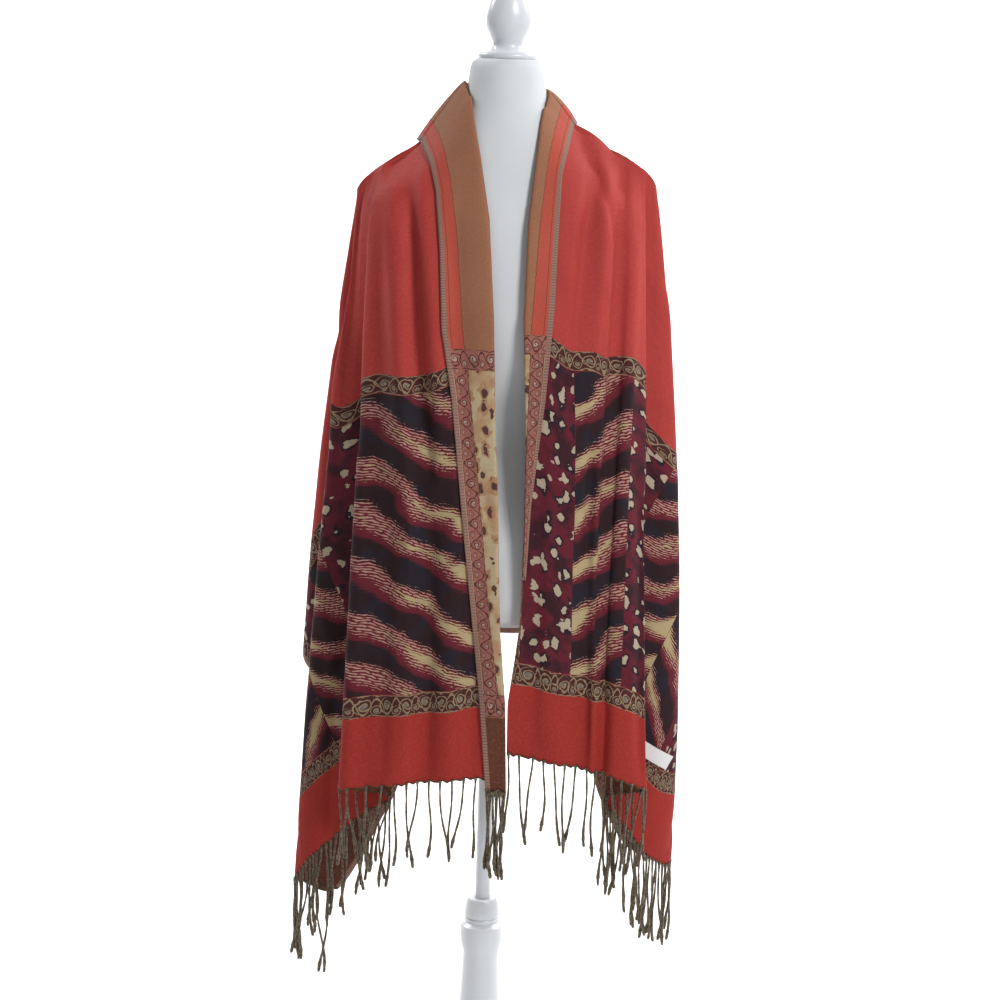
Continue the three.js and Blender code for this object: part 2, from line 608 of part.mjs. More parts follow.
// Turned part: a profile closed onto the axis at both ends and stood upright
function addTurned(name, profile) {
  const last = profile.length - 1;
  const outline = [[0, profile[0][1]], ...profile, [0, profile[last][1]]];
  const geometry = new THREE.LatheGeometry(outline.map(([r, z]) => new THREE.Vector2(r, z)), TURNED_SIDES);
  geometry.rotateX(Math.PI / 2);
  addMesh(name, geometry, material(0xf7f5f1, 0.35));
}
addTurned('finial', FINIAL);
addTurned('pole', POLE);
addTurned('turned_column', COLUMN);
addTurned('base', BASE);

export default group;
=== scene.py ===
# Pashmina shawl hanging open on a limbless dress form with a turned stand.
import math

import bpy
import numpy as np
from mathutils import Matrix, Vector


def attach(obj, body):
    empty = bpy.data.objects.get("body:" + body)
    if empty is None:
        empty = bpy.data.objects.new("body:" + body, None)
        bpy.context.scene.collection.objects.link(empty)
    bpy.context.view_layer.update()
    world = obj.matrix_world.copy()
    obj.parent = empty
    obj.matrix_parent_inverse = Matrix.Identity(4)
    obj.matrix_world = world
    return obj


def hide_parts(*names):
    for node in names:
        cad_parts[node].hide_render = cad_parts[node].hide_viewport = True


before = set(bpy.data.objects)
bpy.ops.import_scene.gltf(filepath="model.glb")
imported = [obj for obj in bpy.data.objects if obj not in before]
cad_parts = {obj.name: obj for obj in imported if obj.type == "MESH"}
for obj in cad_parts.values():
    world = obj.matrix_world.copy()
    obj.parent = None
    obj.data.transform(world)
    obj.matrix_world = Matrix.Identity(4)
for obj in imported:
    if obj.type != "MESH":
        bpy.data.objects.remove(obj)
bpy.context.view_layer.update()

MM = 0.001


# The turned wooden parts: foot, column, pole and neck knob. They are turned from beech on a lathe, primed and
# sprayed white, and glued or screwed end to end. Each profile runs from its foot up, as radius and height.
def material_nodes(name, color, roughness):
    material = bpy.data.materials.new(name)
    material.use_nodes = True
    shader = material.node_tree.nodes["Principled BSDF"]
    shader.inputs["Base Color"].default_value = (*color, 1)
    shader.inputs["Roughness"].default_value = roughness
    return material, material.node_tree, shader


def add_bump(tree, shader, height, strength, distance):
    bump = tree.nodes.new("ShaderNodeBump")
    bump.inputs["Strength"].default_value = strength
    bump.inputs["Distance"].default_value = distance
    tree.links.new(height, bump.inputs["Height"])
    tree.links.new(bump.outputs["Normal"], shader.inputs["Normal"])


def texture(tree, kind, stretch=(1, 1, 1), **settings):
    # A noise or wave texture on the piece's own coordinates
    place = tree.nodes.new("ShaderNodeMapping")
    place.inputs["Scale"].default_value = stretch
    tree.links.new(tree.nodes.new("ShaderNodeTexCoord").outputs["Object"], place.inputs["Vector"])
    node = tree.nodes.new("ShaderNodeTex" + kind)
    for name, value in settings.items():
        node.inputs[name].default_value = value
    tree.links.new(place.outputs["Vector"], node.inputs["Vector"])
    return node.outputs["Fac"]


def color_by(tree, shader, value, *stops):
    # Base colour along a ramp of stops, each a place on the ramp and its colour
    ramp = tree.nodes.new("ShaderNodeValToRGB")
    elements = ramp.color_ramp.elements
    for _ in stops[2:]:
        elements.new(0.5)
    for element, (place, color) in zip(elements, stops):
        element.position = place
        element.color = (*color, 1)
    tree.links.new(value, ramp.inputs["Fac"])
    tree.links.new(ramp.outputs["Color"], shader.inputs["Base Color"])


def painted_wood_material():
    material, tree, shader = material_nodes("white_paint", (0.70, 0.72, 0.76), 0.32)
    grain = texture(tree, "Noise", stretch=(1, 1, 0.12), Scale=26, Detail=6)
    color_by(tree, shader, grain, (0, (0.64, 0.66, 0.70)), (1, (0.72, 0.74, 0.78)))
    add_bump(tree, shader, grain, 0.12, 0.0004)
    shader.inputs["Coat Weight"].default_value = 0.25
    shader.inputs["Coat Roughness"].default_value = 0.2
    return material


def finish_piece(piece, material, *nodes, slot):
    piece.data.materials.clear()
    piece.data.materials.append(material)
    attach(piece, "root")
    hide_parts(*nodes)


def apply_modifier(piece, kind, **settings):
    bpy.context.view_layer.objects.active = piece
    modifier = piece.modifiers.new(kind.lower(), kind)
    for name, value in settings.items():
        setattr(modifier, name, value)
    bpy.ops.object.modifier_apply(modifier=modifier.name)


def turned_piece(name, profile, sides=64):
    bpy.ops.object.select_all(action="DESELECT")
    first_radius, first_height = profile[0]
    bpy.ops.mesh.primitive_circle_add(
        vertices=sides, radius=first_radius * MM, fill_type="NGON", location=(0, 0, first_height * MM))
    piece = bpy.context.object
    piece.name = name
    bpy.ops.object.transform_apply(location=True, rotation=False, scale=False)
    bpy.ops.object.mode_set(mode="EDIT")
    bpy.ops.mesh.select_all(action="SELECT")
    for (radius, height), (next_radius, next_height) in zip(profile, profile[1:]):
        rise = (0, 0, (next_height - height) * MM)
        bpy.ops.mesh.extrude_region_move(TRANSFORM_OT_translate={"value": rise})
        ratio = next_radius / radius
        bpy.ops.transform.resize(value=(ratio, ratio, 1), center_override=(0, 0, next_height * MM))
    bpy.ops.mesh.select_all(action="SELECT")
    bpy.ops.mesh.normals_make_consistent(inside=False)
    bpy.ops.object.mode_set(mode="OBJECT")
    return piece


# Radii and heights of each turned part
BASE = [
    (164, 0), (168, 1), (170, 4), (170, 14), (168, 18), (160, 22), (120, 30), (60, 42), (48, 48), (46, 50),
]
COLUMN = [
    (29, 50.3), (31, 52), (34, 60), (34.5, 72), (33, 84), (27, 91), (21.5, 97), (18.5, 104), (18, 112),
    (19.5, 122), (22, 134), (29, 170), (31, 205), (29, 240), (26, 275), (24.3, 305), (23.2, 335), (23.4, 341),
    (25, 346), (27, 354), (27.7, 361), (27.7, 369), (27, 376), (23.5, 378.5), (21.5, 380), (22.4, 382),
    (22.4, 384.5), (20.8, 386.5), (22.8, 388.5), (23.2, 392), (22.6, 398), (21.5, 404), (20, 409), (18, 412),
]
POLE = [(9.5, 412.3), (9.8, 414), (9.8, 795.4), (9.5, 795.7)]
FINIAL = [
    (35.5, 1485.3), (36.4, 1486.4), (36.5, 1489), (35.6, 1491), (33.5, 1492.4), (26, 1494), (21, 1497),
    (19, 1501), (19.2, 1505), (21.5, 1510), (25, 1516.5), (27.4, 1523), (28, 1530), (27.6, 1537),
    (26.4, 1543.5), (24.2, 1551), (21.4, 1558), (17.4, 1565), (12.5, 1570), (7, 1573), (2, 1574),
]
painted_wood = painted_wood_material()
for part_name, node, outline in (
        ("stand_foot", "base", BASE), ("stand_column", "turned_column", COLUMN),
        ("stand_pole", "pole", POLE), ("neck_knob", "finial", FINIAL)):
    part = turned_piece(part_name, outline)
    finish_piece(part, painted_wood, node, slot="painted_wood")
    bpy.ops.object.shade_smooth_by_angle(angle=math.radians(38))


# The torso of the dress form: a padded shell covered in white stretched jersey, pulled smooth over the
# shoulders and gathered out of sight underneath. Sections from the bottom up: height, half width, half depth.
TORSO = [
    (796, 150, 98), (799, 156, 103), (806, 160, 106), (825, 162, 107.5), (850, 162, 107), (900, 148, 102),
    (950, 128, 90), (1010, 117, 82), (1070, 130, 91), (1125, 148, 106), (1180, 158, 113), (1235, 165, 105),
    (1290, 170, 92), (1312, 168, 84), (1326, 160, 78), (1342, 140, 72), (1362, 110, 66), (1386, 82, 60),
    (1410, 62, 54), (1432, 50, 48), (1460, 47, 46), (1474, 45.5, 44.8), (1481, 43, 42.3), (1485, 38, 37.5),
]


def jersey_material():
    material, tree, shader = material_nodes("jersey_cover", (0.80, 0.80, 0.80), 0.85)
    shader.inputs["Sheen Weight"].default_value = 0.25
    shader.inputs["Sheen Roughness"].default_value = 0.5
    knit = texture(tree, "Wave", Scale=320, Distortion=1.5)
    cloud = texture(tree, "Noise", Scale=7, Detail=4)
    color_by(tree, shader, cloud, (0.3, (0.66, 0.68, 0.70)), (0.7, (0.72, 0.75, 0.79)))
    add_bump(tree, shader, knit, 0.12, 0.0003)
    return material


torso = turned_piece("torso_cover", [(width, height) for height, width, depth in TORSO], sides=96)
ring_depth = {round(height * MM, 4): depth / width for height, width, depth in TORSO}
for vertex in torso.data.vertices:
    vertex.co.y *= ring_depth[round(vertex.co.z, 4)]
finish_piece(torso, jersey_material(), "form_torso", slot="form_cover")
bpy.ops.object.shade_smooth_by_angle(angle=math.radians(50))


# The shawl: one jacquard woven sheet, red on the face and ochre on the reverse, with its neck edge folded
# out into a collar and two lapels. Nothing fastens it: it lies over the shoulders and hangs in long folds.
CLOTH_LENGTH = 2.0
CLOTH_WIDTH = 0.75
CLOTH_THICKNESS = 0.0011
# Fold columns, from the lapel fold to the middle of the back. Each has its place over the shoulder and at the
# hem, its place s, t in the flat cloth there, its bow outwards, its lift off the form and its lean (degrees).
RIGHT_FOLDS = [
    # ridge x, y, z, hem x, y, z, flat s and t at the ridge, flat s and t at the hem, bow, lift, lean
    (-43, -26, 1438, 25, -124, 592, 186, 86, 1000, 26, 0, 8, -90),
    (-62, -4, 1433, -8, -120, 606, 168, 102, 1000, 60, 0, 7, -90),
    (-84, -3, 1406, -48, -125, 603, 170, 124, 1000, 102, 0, 12, -90),
    (-104, -3, 1380, -85, -116, 598, 186, 146, 1000, 142, 0, 9, -90),
    (-122, -4, 1366, -118, -124, 594, 200, 163, 1000, 178, 0, 14, -90),
    (-136, -6, 1358, -150, -114, 589, 210, 177, 1000, 204, 0, 11, -95),
    (-144, -10, 1354, -174, -116, 585, 208, 186, 1000, 220, 0, 16, -105),
    (-148, -12, 1352, -182, -104, 584, 203, 190, 1000, 234, 0, 15, -115),
    (-151, -11, 1350, -152, -90, 577, 203, 192, 1000, 278, 0, 10, -110),
    (-154, -10, 1348, -118, -80, 566, 203, 194, 1000, 318, 0, 5, -110),
    (-159, -9, 1345, -150, -66, 542, 203, 196, 1000, 385, 0, 5, -120),
    (-165, -9, 1341, -188, -62, 508, 203, 198, 1000, 465, 2, 8, -130),
    (-171, -8, 1336, -218, -56, 478, 212, 199, 1000, 545, 5, 10, -145),
    (-176, -6, 1330, -241, -40, 442, 236, 200, 1000, 640, 8, 12, -160),
    (-179, -3, 1325, -234, -22, 432, 254, 200, 1000, 700, 6, 9, -170),
    (-180, 0, 1323, -188, -10, 420, 260, 201, 1000, 750, 0, 6, 180),
    (-181, 4, 1322, -136, 0, 510, 260, 201, 880, 750, 0, 4, 180),
    (-181, 8, 1322, -112, 14, 575, 260, 202, 770, 750, 0, 4, 180),
    (-181, 12, 1322, -152, 28, 630, 260, 202, 680, 750, 2, 6, 175),
    (-181, 16, 1323, -222, 34, 690, 260, 203, 585, 750, 6, 10, 175),
    (-179, 21, 1325, -243, 54, 716, 259, 203, 540, 750, 9, 13, 165),
    (-174, 26, 1329, -230, 80, 728, 256, 203, 490, 750, 6, 12, 145),
    (-163, 31, 1337, -192, 102, 738, 250, 200, 420, 750, 0, 10, 115),
    (-142, 36, 1350, -150, 118, 745, 230, 186, 340, 750, 0, 14, 95),
    (-118, 41, 1366, -112, 106, 744, 205, 160, 255, 750, 0, 7, 90),
    (-90, 47, 1386, -70, 121, 742, 165, 125, 170, 750, 0, 15, 90),
    (-52, 55, 1408, -32, 110, 740, 85, 85, 85, 750, 0, 8, 90),
    (0, 62, 1415, 0, 116, 738, 0, 72, 0, 750, 0, 12, 90),
]
LEFT_FOLDS = [
    (46, -26, 1427, 25, -120, 640, 202, 50, 1000, 8, 0, 8, -90),
    (66, -4, 1426, 52, -116, 634, 203, 70, 1000, 40, 0, 7, -90),
    (88, -3, 1402, 84, -122, 628, 205, 96, 1000, 78, 0, 11, -90),
    (112, -3, 1394, 112, -114, 623, 212, 122, 1000, 110, 0, 8, -90),
    (132, -4, 1377, 130, -121, 619, 220, 146, 1000, 132, 0, 12, -90),
    (146, -6, 1370, 143, -108, 616, 229, 163, 1000, 152, 0, 8, -88),
    (156, -8, 1366, 156, -120, 612, 234, 175, 1000, 172, 0, 14, -84),
    (164, -10, 1361, 180, -117, 603, 230, 184, 1000, 200, 0, 15, -78),
    (170, -11, 1357, 200, -104, 592, 220, 191, 1000, 228, 0, 14, -66),
    (173, -10, 1355, 178, -88, 584, 205, 194, 1000, 275, 0, 9, -70),
    (176, -9, 1352, 150, -76, 570, 185, 197, 1000, 330, 0, 5, -70),
    (180, -8, 1348, 188, -62, 518, 166, 199, 1000, 470, 6, 8, -50),
    (184, -7, 1343, 216, -54, 484, 158, 200, 1000, 575, 14, 10, -35),
    (187, -4, 1337, 239, -32, 474, 146, 200, 1000, 660, 19, 12, -20),
    (188, 0, 1334, 232, -12, 476, 152, 201, 1000, 700, 16, 9, -8),
    (188, 5, 1333, 184, 0, 486, 200, 201, 1000, 750, 6, 6, 0),
    (188, 9, 1333, 138, 16, 586, 260, 202, 800, 750, 2, 4, 0),
    (188, 14, 1334, 186, 30, 640, 260, 202, 690, 750, 4, 7, 5),
    (187, 19, 1335, 226, 46, 694, 259, 203, 580, 750, 8, 11, 10),
    (182, 25, 1339, 228, 74, 724, 256, 203, 500, 750, 7, 12, 30),
    (170, 31, 1347, 198, 98, 736, 250, 200, 430, 750, 0, 10, 62),
    (148, 36, 1358, 158, 117, 744, 230, 186, 345, 750, 0, 14, 85),
    (122, 41, 1370, 120, 105, 744, 205, 160, 262, 750, 0, 7, 90),
    (92, 47, 1387, 80, 120, 742, 165, 122, 175, 750, 0, 14, 90),
    (52, 55, 1408, 38, 109, 740, 85, 80, 88, 750, 0, 8, 90),
    (0, 62, 1415, 0, 116, 738, 0, 72, 0, 750, 0, 12, 90),
]
# Fold line and free selvedge of each lapel as x at heights z, the lapel's lower end, and the collar's edge
RIGHT_EDGE = {
    "fold": [(-46, 1457), (-38, 1410), (-29, 1368), (-16, 1296), (-7, 1177), (-3, 1083), (5, 942), (11, 807),
             (21, 702), (25, 592)],
    "selvedge": [(-104, 1380), (-89, 1354), (-81, 1324), (-74, 1256), (-69, 1164), (-55, 1083), (-36, 917),
                 (-11, 709), (0, 592)],
    "end": 592,
    "collar": [(-104, -4, 1380), (-106, 16, 1385), (-92, 42, 1399), (-66, 60, 1414), (-34, 70, 1420),
               (0, 73, 1422)],
    "collar_width": 90,
}
LEFT_EDGE = {
    "fold": [(49, 1446), (43, 1412), (31, 1296), (29, 1177), (36, 1037), (38, 919), (37, 807), (24, 705),
             (25, 640)],
    "selvedge": [(84, 1406), (70, 1349), (68, 1305), (65, 1190), (58, 1083), (45, 955), (41, 850)],
    "end": 860,
    "collar": [(84, -4, 1406), (86, 18, 1409), (78, 42, 1414), (60, 58, 1420), (32, 70, 1422), (0, 73, 1422)],
    "collar_width": 50,
}
NECK_FOLD = {"radius": 57, "height": 1452, "start": -4, "back_width": 35}
LEVEL_LAPEL_HEIGHT = 1164
LAPEL_LIFT = 3.2
COLLAR_BLEND = 24
LAPEL_FRACTIONS = (0.006, 0.02, 0.045, 0.08, 0.14, 0.25, 0.4, 0.55, 0.7, 0.85, 0.96, 1)
FORM_CLEARANCE = 3.4
TROUGH_CLEARANCE = 2.2
NECK_SAG = {"drop": 24, "from": 80, "to": 140}
FOLD_FADE = 0.9
# Between the first and last of these columns, the side folds spread their width out late down the fall
SIDE_COLUMNS = (5, 9, 13, 16)
LATE_SPREAD = 1.2
COLUMN_STEPS = 7
NECK_ROWS = 14
FALL_ROWS = 112
FALL_CROWDING = 1.25
STRAND_SPACING = 15.5
SCALLOP = 0.42


def spline_rows(rows, places):
    # Smooth curve through evenly numbered rows of values
    rows = np.asarray(rows, float)
    last = len(rows) - 1
    index = np.minimum(places.astype(int), last - 1)
    f = (places - index)[:, None]
    before = rows[np.maximum(index - 1, 0)]
    here = rows[index]
    after = rows[index + 1]
    beyond = rows[np.minimum(index + 2, last)]
    leave = (after - before) / 2
    arrive = (beyond - here) / 2
    rise = after - here
    return here + f * (leave + f * (3 * rise - 2 * leave - arrive + f * (leave + arrive - 2 * rise)))


def at_height(rows, z):
    heights = [row[1] for row in rows][::-1]
    values = [row[0] for row in rows][::-1]
    return np.interp(z, heights, values)


def push_off_form(points, direction, room):
    # How far each point moves along a level direction to stand `room` off the torso
    heights = [row[0] for row in TORSO]
    a = np.interp(points[:, 2], heights, [row[1] for row in TORSO]) + room
    b = np.interp(points[:, 2], heights, [row[2] for row in TORSO]) + room
    x, y = points[:, 0], points[:, 1]
    dx, dy = direction
    level = (x / a) ** 2 + (y / b) ** 2 - 1
    qa = (dx / a) ** 2 + (dy / b) ** 2
    qb = x * dx / a ** 2 + y * dy / b ** 2
    reach = (-qb + np.sqrt(np.maximum(qb ** 2 - qa * level, 0))) / qa
    beside = (points[:, 2] >= heights[0]) & (points[:, 2] <= heights[-1]) & (level < 0)
    return np.where(beside, reach, 0)


def clear_of_form(points, room):
    # Moves points straight out from the pole until they stand `room` off the torso
    radial = np.hypot(points[:, 0], points[:, 1])
    outward = (points[:, 0] / radial, points[:, 1] / radial)
    points[:, :2] *= (1 + push_off_form(points, outward, room) / radial)[:, None]


def taut_over(places, supports):
    # Taut line over a row of supports, softened a little where it leaves them
    hull = []
    for place, height in zip(places, supports):
        while len(hull) > 1:
            (x0, y0), (x1, y1) = hull[-2:]
            if (y1 - y0) * (place - x0) > (height - y0) * (x1 - x0):
                break
            hull.pop()
        hull.append((place, height))
    line = np.interp(places, *zip(*hull))
    for _ in range(12):
        line[1:-1] = np.maximum((line[:-2] + 2 * line[1:-1] + line[2:]) / 4, supports[1:-1])
    return line


def side_columns(folds, edge):
    # Points of one side of the shawl and their places in the flat cloth, column by column, in millimetres
    last = len(folds) - 1
    places = np.arange(last * COLUMN_STEPS + 1) / COLUMN_STEPS
    values = spline_rows(folds, places)
    fold_x, fold_z = edge["fold"][0]
    handed = math.copysign(1, fold_x)
    neck_rows = np.linspace(0, 1, NECK_ROWS, endpoint=False)[:, None]
    fall = (np.arange(FALL_ROWS + 1) / FALL_ROWS) ** FALL_CROWDING
    columns, flats = [], []
    for place, value in zip(places, values):
        ridge, hem = value[0:3], value[3:6]
        flat_ridge, flat_hem = value[6:8] * (-handed, 1), value[8:10] * (-handed, 1)
        bow, lift, lean = value[10:13]
        around = place / last
        turn = math.radians(NECK_FOLD["start"] + (90 - NECK_FOLD["start"]) * around ** 1.25)
        width = np.interp(around * 1.5, (0, 1), (abs(fold_x), NECK_FOLD["radius"]))
        height = fold_z + (NECK_FOLD["height"] - fold_z) * math.sin(math.pi * 0.5 * around)
        neck = np.array((handed * width * math.cos(turn), NECK_FOLD["radius"] * math.sin(turn), height))
        collar_width = edge["collar_width"] + (NECK_FOLD["back_width"] - edge["collar_width"]) * around
        flat_neck = np.array((-handed * 140 * (1 - around), collar_width))
        upper = neck + (ridge - neck) * neck_rows
        far = np.clip((abs(ridge[0]) - NECK_SAG["from"]) / (NECK_SAG["to"] - NECK_SAG["from"]), 0, 1)
        upper[:, 2] -= (NECK_SAG["drop"] * far * 6.75 * neck_rows * (1 - neck_rows) ** 2)[:, 0]
        clear_of_form(upper, FORM_CLEARANCE)
        lower = ridge + (hem - ridge) * fall[:, None]
        lower[:, 0] += handed * bow * 4 * fall * (1 - fall)
        if place < 1:
            lower[:, 0] = at_height(edge["fold"], lower[:, 2]) * (1 - place) + lower[:, 0] * place
        out = (math.cos(math.radians(lean)), math.sin(math.radians(lean)))
        room = FORM_CLEARANCE + lift * np.minimum(1, fall * 5)
        push = taut_over(fall, push_off_form(lower, out, room))
        lower[:, 0] += out[0] * push
        lower[:, 1] += out[1] * push
        columns.append(np.vstack((upper, lower)))
        flat_upper = flat_neck + (flat_ridge - flat_neck) * neck_rows
        late = 1 + LATE_SPREAD * np.interp(place, SIDE_COLUMNS, (0, 1, 1, 0))
        flat_lower = flat_ridge + (flat_hem - flat_ridge) * np.column_stack((fall, fall ** late))
        flats.append(np.vstack((flat_upper, flat_lower)))
    return np.array(columns), np.array(flats)


def creased(columns, flats, handed):
    # The columns with their creases, which fade out at the lapel fold and round the neck
    along = np.gradient(columns, axis=1)
    aside = np.gradient(columns, axis=0)
    normals = np.cross(along, aside) * handed
    normals /= np.linalg.norm(normals, axis=2)[:, :, None]
    height = crease_height(flats.reshape(-1, 2)).reshape(columns.shape[:2])
    from_fold = np.arange(len(columns))[:, None] / COLUMN_STEPS
    from_neck = np.arange(columns.shape[1])[None] / NECK_ROWS
    fade = np.clip(from_fold / FOLD_FADE - 0.15, 0, 1) * np.clip(from_neck - 0.6, 0, 1)
    points = (columns + normals * (height * fade)[:, :, None]).reshape(-1, 3)
    clear_of_form(points, TROUGH_CLEARANCE)
    return points.reshape(columns.shape)


def surface_depth(columns, x, z):
    # Depth of the cloth's front surface at x and z
    level_x = np.array([np.interp(z, column[::-1, 2], column[::-1, 0]) for column in columns])
    level_y = np.array([np.interp(z, column[::-1, 2], column[::-1, 1]) for column in columns])
    f = (x - level_x[:-1]) / np.where(np.diff(level_x) == 0, 1e-9, np.diff(level_x))
    hits = (f >= 0) & (f <= 1)
    if not hits.any():
        return level_y[np.abs(level_x - x).argmin()]
    return (level_y[:-1] + np.diff(level_y) * f)[hits].min()


def lapel_strips(columns, flats, edge):
    # Strips across the lapel and collar, from the fold line to the selvedge
    front = columns[:COLUMN_STEPS * 6]
    top_z = edge["fold"][0][1]
    drop = top_z - edge["selvedge"][0][1]
    strips = []
    for row in range(columns.shape[1] - 1, 0, -1):
        fold = columns[0][row]
        if fold[2] < edge["end"] - 1:
            continue
        high = max(0, (fold[2] - LEVEL_LAPEL_HEIGHT) / (top_z - LEVEL_LAPEL_HEIGHT))
        free_z = fold[2] - drop * high ** 1.5
        free_x = at_height(edge["selvedge"], free_z)
        free_y = surface_depth(front, free_x, free_z)
        rise = math.radians(80 * high ** 2)
        points, flat = [], []
        for f in LAPEL_FRACTIONS:
            x = fold[0] + (free_x - fold[0]) * f
            z = fold[2] + (free_z - fold[2]) * f
            lift = LAPEL_LIFT * math.sqrt(1 - (1 - min(1, f / 0.14)) ** 2)
            y = surface_depth(front, x, z)
            y += min(0, fold[1] + (free_y - fold[1]) * f - y) * high ** 2
            points.append((x, y - lift * math.cos(rise), z + lift * math.sin(rise)))
            flat.append((flats[0][row][0], flats[0][row][1] * (1 - f)))
        strips.append((0, row, points, flat))
    lapel_top = np.array(strips[-1][2]) + columns[0][0] - columns[0][1]
    for column in range(len(columns)):
        around = column / (len(columns) - 1)
        ease = max(0, 1 - column / COLLAR_BLEND) ** 2
        fold = columns[column][0]
        free = spline_rows(edge["collar"], np.array([around * (len(edge["collar"]) - 1)]))[0]
        radial = math.hypot(fold[0], fold[1])
        points, flat = [], []
        for lapel_point, f in zip(lapel_top, LAPEL_FRACTIONS):
            swell = LAPEL_LIFT * (math.sin(math.pi * f) + math.sqrt(1 - (1 - min(1, f / 0.14)) ** 2)) * 0.6
            point = fold + (free - fold) * f
            point += swell * np.array((fold[0] / radial, fold[1] / radial, 1))
            points.append(tuple(point * (1 - ease) + lapel_point * ease))
            flat.append((flats[column][0][0], flats[column][0][1] * (1 - f)))
        strips.append((column, 0, points, flat))
    return strips


# Main creases of the cloth, soft ridges and troughs along lines of the flat cloth, each side with its own:
# from s, t to s, t, half width and height, all in millimetres. Troughs have a height below zero.
CREASES = [
    (225, 142, 540, 112, 9, 5.4), (250, 158, 600, 128, 8, -7.4), (245, 176, 720, 152, 10, 6.4),
    (290, 212, 560, 204, 9, -3.8), (310, 238, 560, 232, 10, 3.6), (560, 214, 750, 226, 9, -4.6),
    (750, 226, 985, 262, 11, -6.5), (300, 102, 640, 80, 9, -6.4), (420, 66, 700, 62, 8, -3.6),
    (600, 92, 985, 100, 12, 4.2), (700, 66, 985, 70, 9, -4.6), (660, 124, 990, 130, 9, -4.8),
    (640, 152, 990, 160, 10, 4.6), (600, 178, 985, 188, 9, -5.0), (330, 270, 700, 400, 12, 3.4),
    (290, 330, 560, 520, 11, -3.4), (700, 250, 985, 400, 11, 4.4), (720, 290, 985, 480, 10, -4.4),
    (-235, 118, -560, 88, 9, -7.0), (-250, 138, -700, 104, 10, 6.0), (-240, 162, -840, 134, 8, -6.8),
    (-330, 178, -900, 160, 10, 4.8), (-420, 60, -960, 62, 11, 3.4), (-560, 118, -990, 121, 8, -5.2),
    (-620, 196, -985, 214, 9, -6.0), (-280, 210, -520, 300, 11, 3.2), (-300, 250, -640, 420, 11, -3.4),
    (-215, 100, -330, 160, 8, -4.0), (60, 180, 60, 700, 16, 4.6), (130, 220, 150, 740, 14, -4.6),
    (-70, 200, -60, 720, 15, 4.4), (-150, 210, -170, 730, 13, -4.6), (0, 260, 0, 745, 18, -4.2),
    (210, 300, 260, 740, 14, 4.0), (-220, 320, -270, 740, 14, 4.0), (330, 420, 430, 700, 12, -3.4),
    (-330, 430, -430, 700, 12, -3.4), (700, 330, 960, 380, 11, 2.6), (-700, 320, -950, 370, 11, 2.6),
    (640, 520, 990, 600, 12, -3.0), (-640, 560, -985, 620, 12, -3.0),
]


def crease_height(flat):
    # Height of all the creases at places in the flat cloth, in millimetres
    height = np.zeros(len(flat))
    for s0, t0, s1, t1, half_width, rise in CREASES:
        start = np.array((s0, t0), float)
        run = np.array((s1, t1), float) - start
        along = ((flat - start) @ run) / (run @ run)
        nearest = start + np.clip(along, 0, 1)[:, None] * run
        gap = np.linalg.norm(flat - nearest, axis=1)
        ends = np.clip(np.minimum(along + 0.1, 1.1 - along) * 5, 0, 1)
        height += rise * np.exp(-(gap / half_width) ** 2) * ends
    ripple = np.sin(flat[:, 0] * 0.021 + 3 * np.sin(flat[:, 1] * 0.017)) * np.sin(flat[:, 1] * 0.031 + 1)
    return height + 0.35 * ripple


def add_object(name, data):
    added = bpy.data.objects.new(name, data)
    bpy.context.scene.collection.objects.link(added)
    return added


def build_shawl():
    verts, flat_places, faces, hems = [], [], [], []

    def add(point, flat):
        verts.append(tuple(point))
        flat_places.append(tuple(flat))
        return len(verts) - 1

    def grid(rows, flip):
        for first, second in zip(rows, rows[1:]):
            for k in range(len(first) - 1):
                quad = (first[k], second[k], second[k + 1], first[k + 1])
                faces.append(quad[::-1] if flip else quad)

    hem_start = CLOTH_LENGTH / MM / 2 - 0.5
    middle = None
    for folds, edge, flip in ((RIGHT_FOLDS, RIGHT_EDGE, False), (LEFT_FOLDS, LEFT_EDGE, True)):
        columns, flats = side_columns(folds, edge)
        columns = creased(columns, flats, math.copysign(1, edge["fold"][0][0]))
        strips = lapel_strips(columns, flats, edge)
        last = len(columns) - 1
        ids = []
        for c in range(last + 1):
            if c == last and middle:
                ids.append(middle[0])
            else:
                ids.append([add(point, flat) for point, flat in zip(columns[c], flats[c])])
        strip_ids = []
        for column, row, points, flat in strips:
            if column == last and middle:
                free = middle[1]
            else:
                free = [add(point, place) for point, place in zip(points, flat)]
            strip_ids.append([ids[column][row], *free])
        grid(ids, flip)
        grid(strip_ids, not flip)
        middle = (ids[last], strip_ids[-1][1:])
        on_hem = [c for c in range(last + 1) if abs(flats[c][-1][0]) > hem_start]
        hems.append([ids[c][-2:] for c in on_hem])
        if abs(strips[0][3][0][0]) > hem_start:
            hems.append(list(zip(strip_ids[1], strip_ids[0]))[::-1])
    mesh = bpy.data.meshes.new("shawl")
    mesh.from_pydata(np.array(verts) * MM, [], faces)
    shawl = add_object("shawl", mesh)
    flat_places = np.array(flat_places)
    places = np.array(verts) * MM
    for hem in hems:
        for above, end in hem:
            between = 0.5 + 0.5 * math.cos(2 * math.pi * flat_places[end][1] / STRAND_SPACING)
            places[end] += (places[above] - places[end]) * between * SCALLOP
    mesh.vertices.foreach_set("co", places.ravel())
    layer = mesh.uv_layers.new(name="flat_cloth")
    corner_vertex = np.zeros(len(mesh.loops), int)
    mesh.loops.foreach_get("vertex_index", corner_vertex)
    layer.data.foreach_set("uv", (flat_places[corner_vertex] * MM).ravel())
    mesh.shade_smooth()
    mesh.update()
    hem_lines = []
    for hem in hems:
        hem_lines.append([(places[above], places[end], flat_places[end][1]) for above, end in hem])
    return shawl, hem_lines


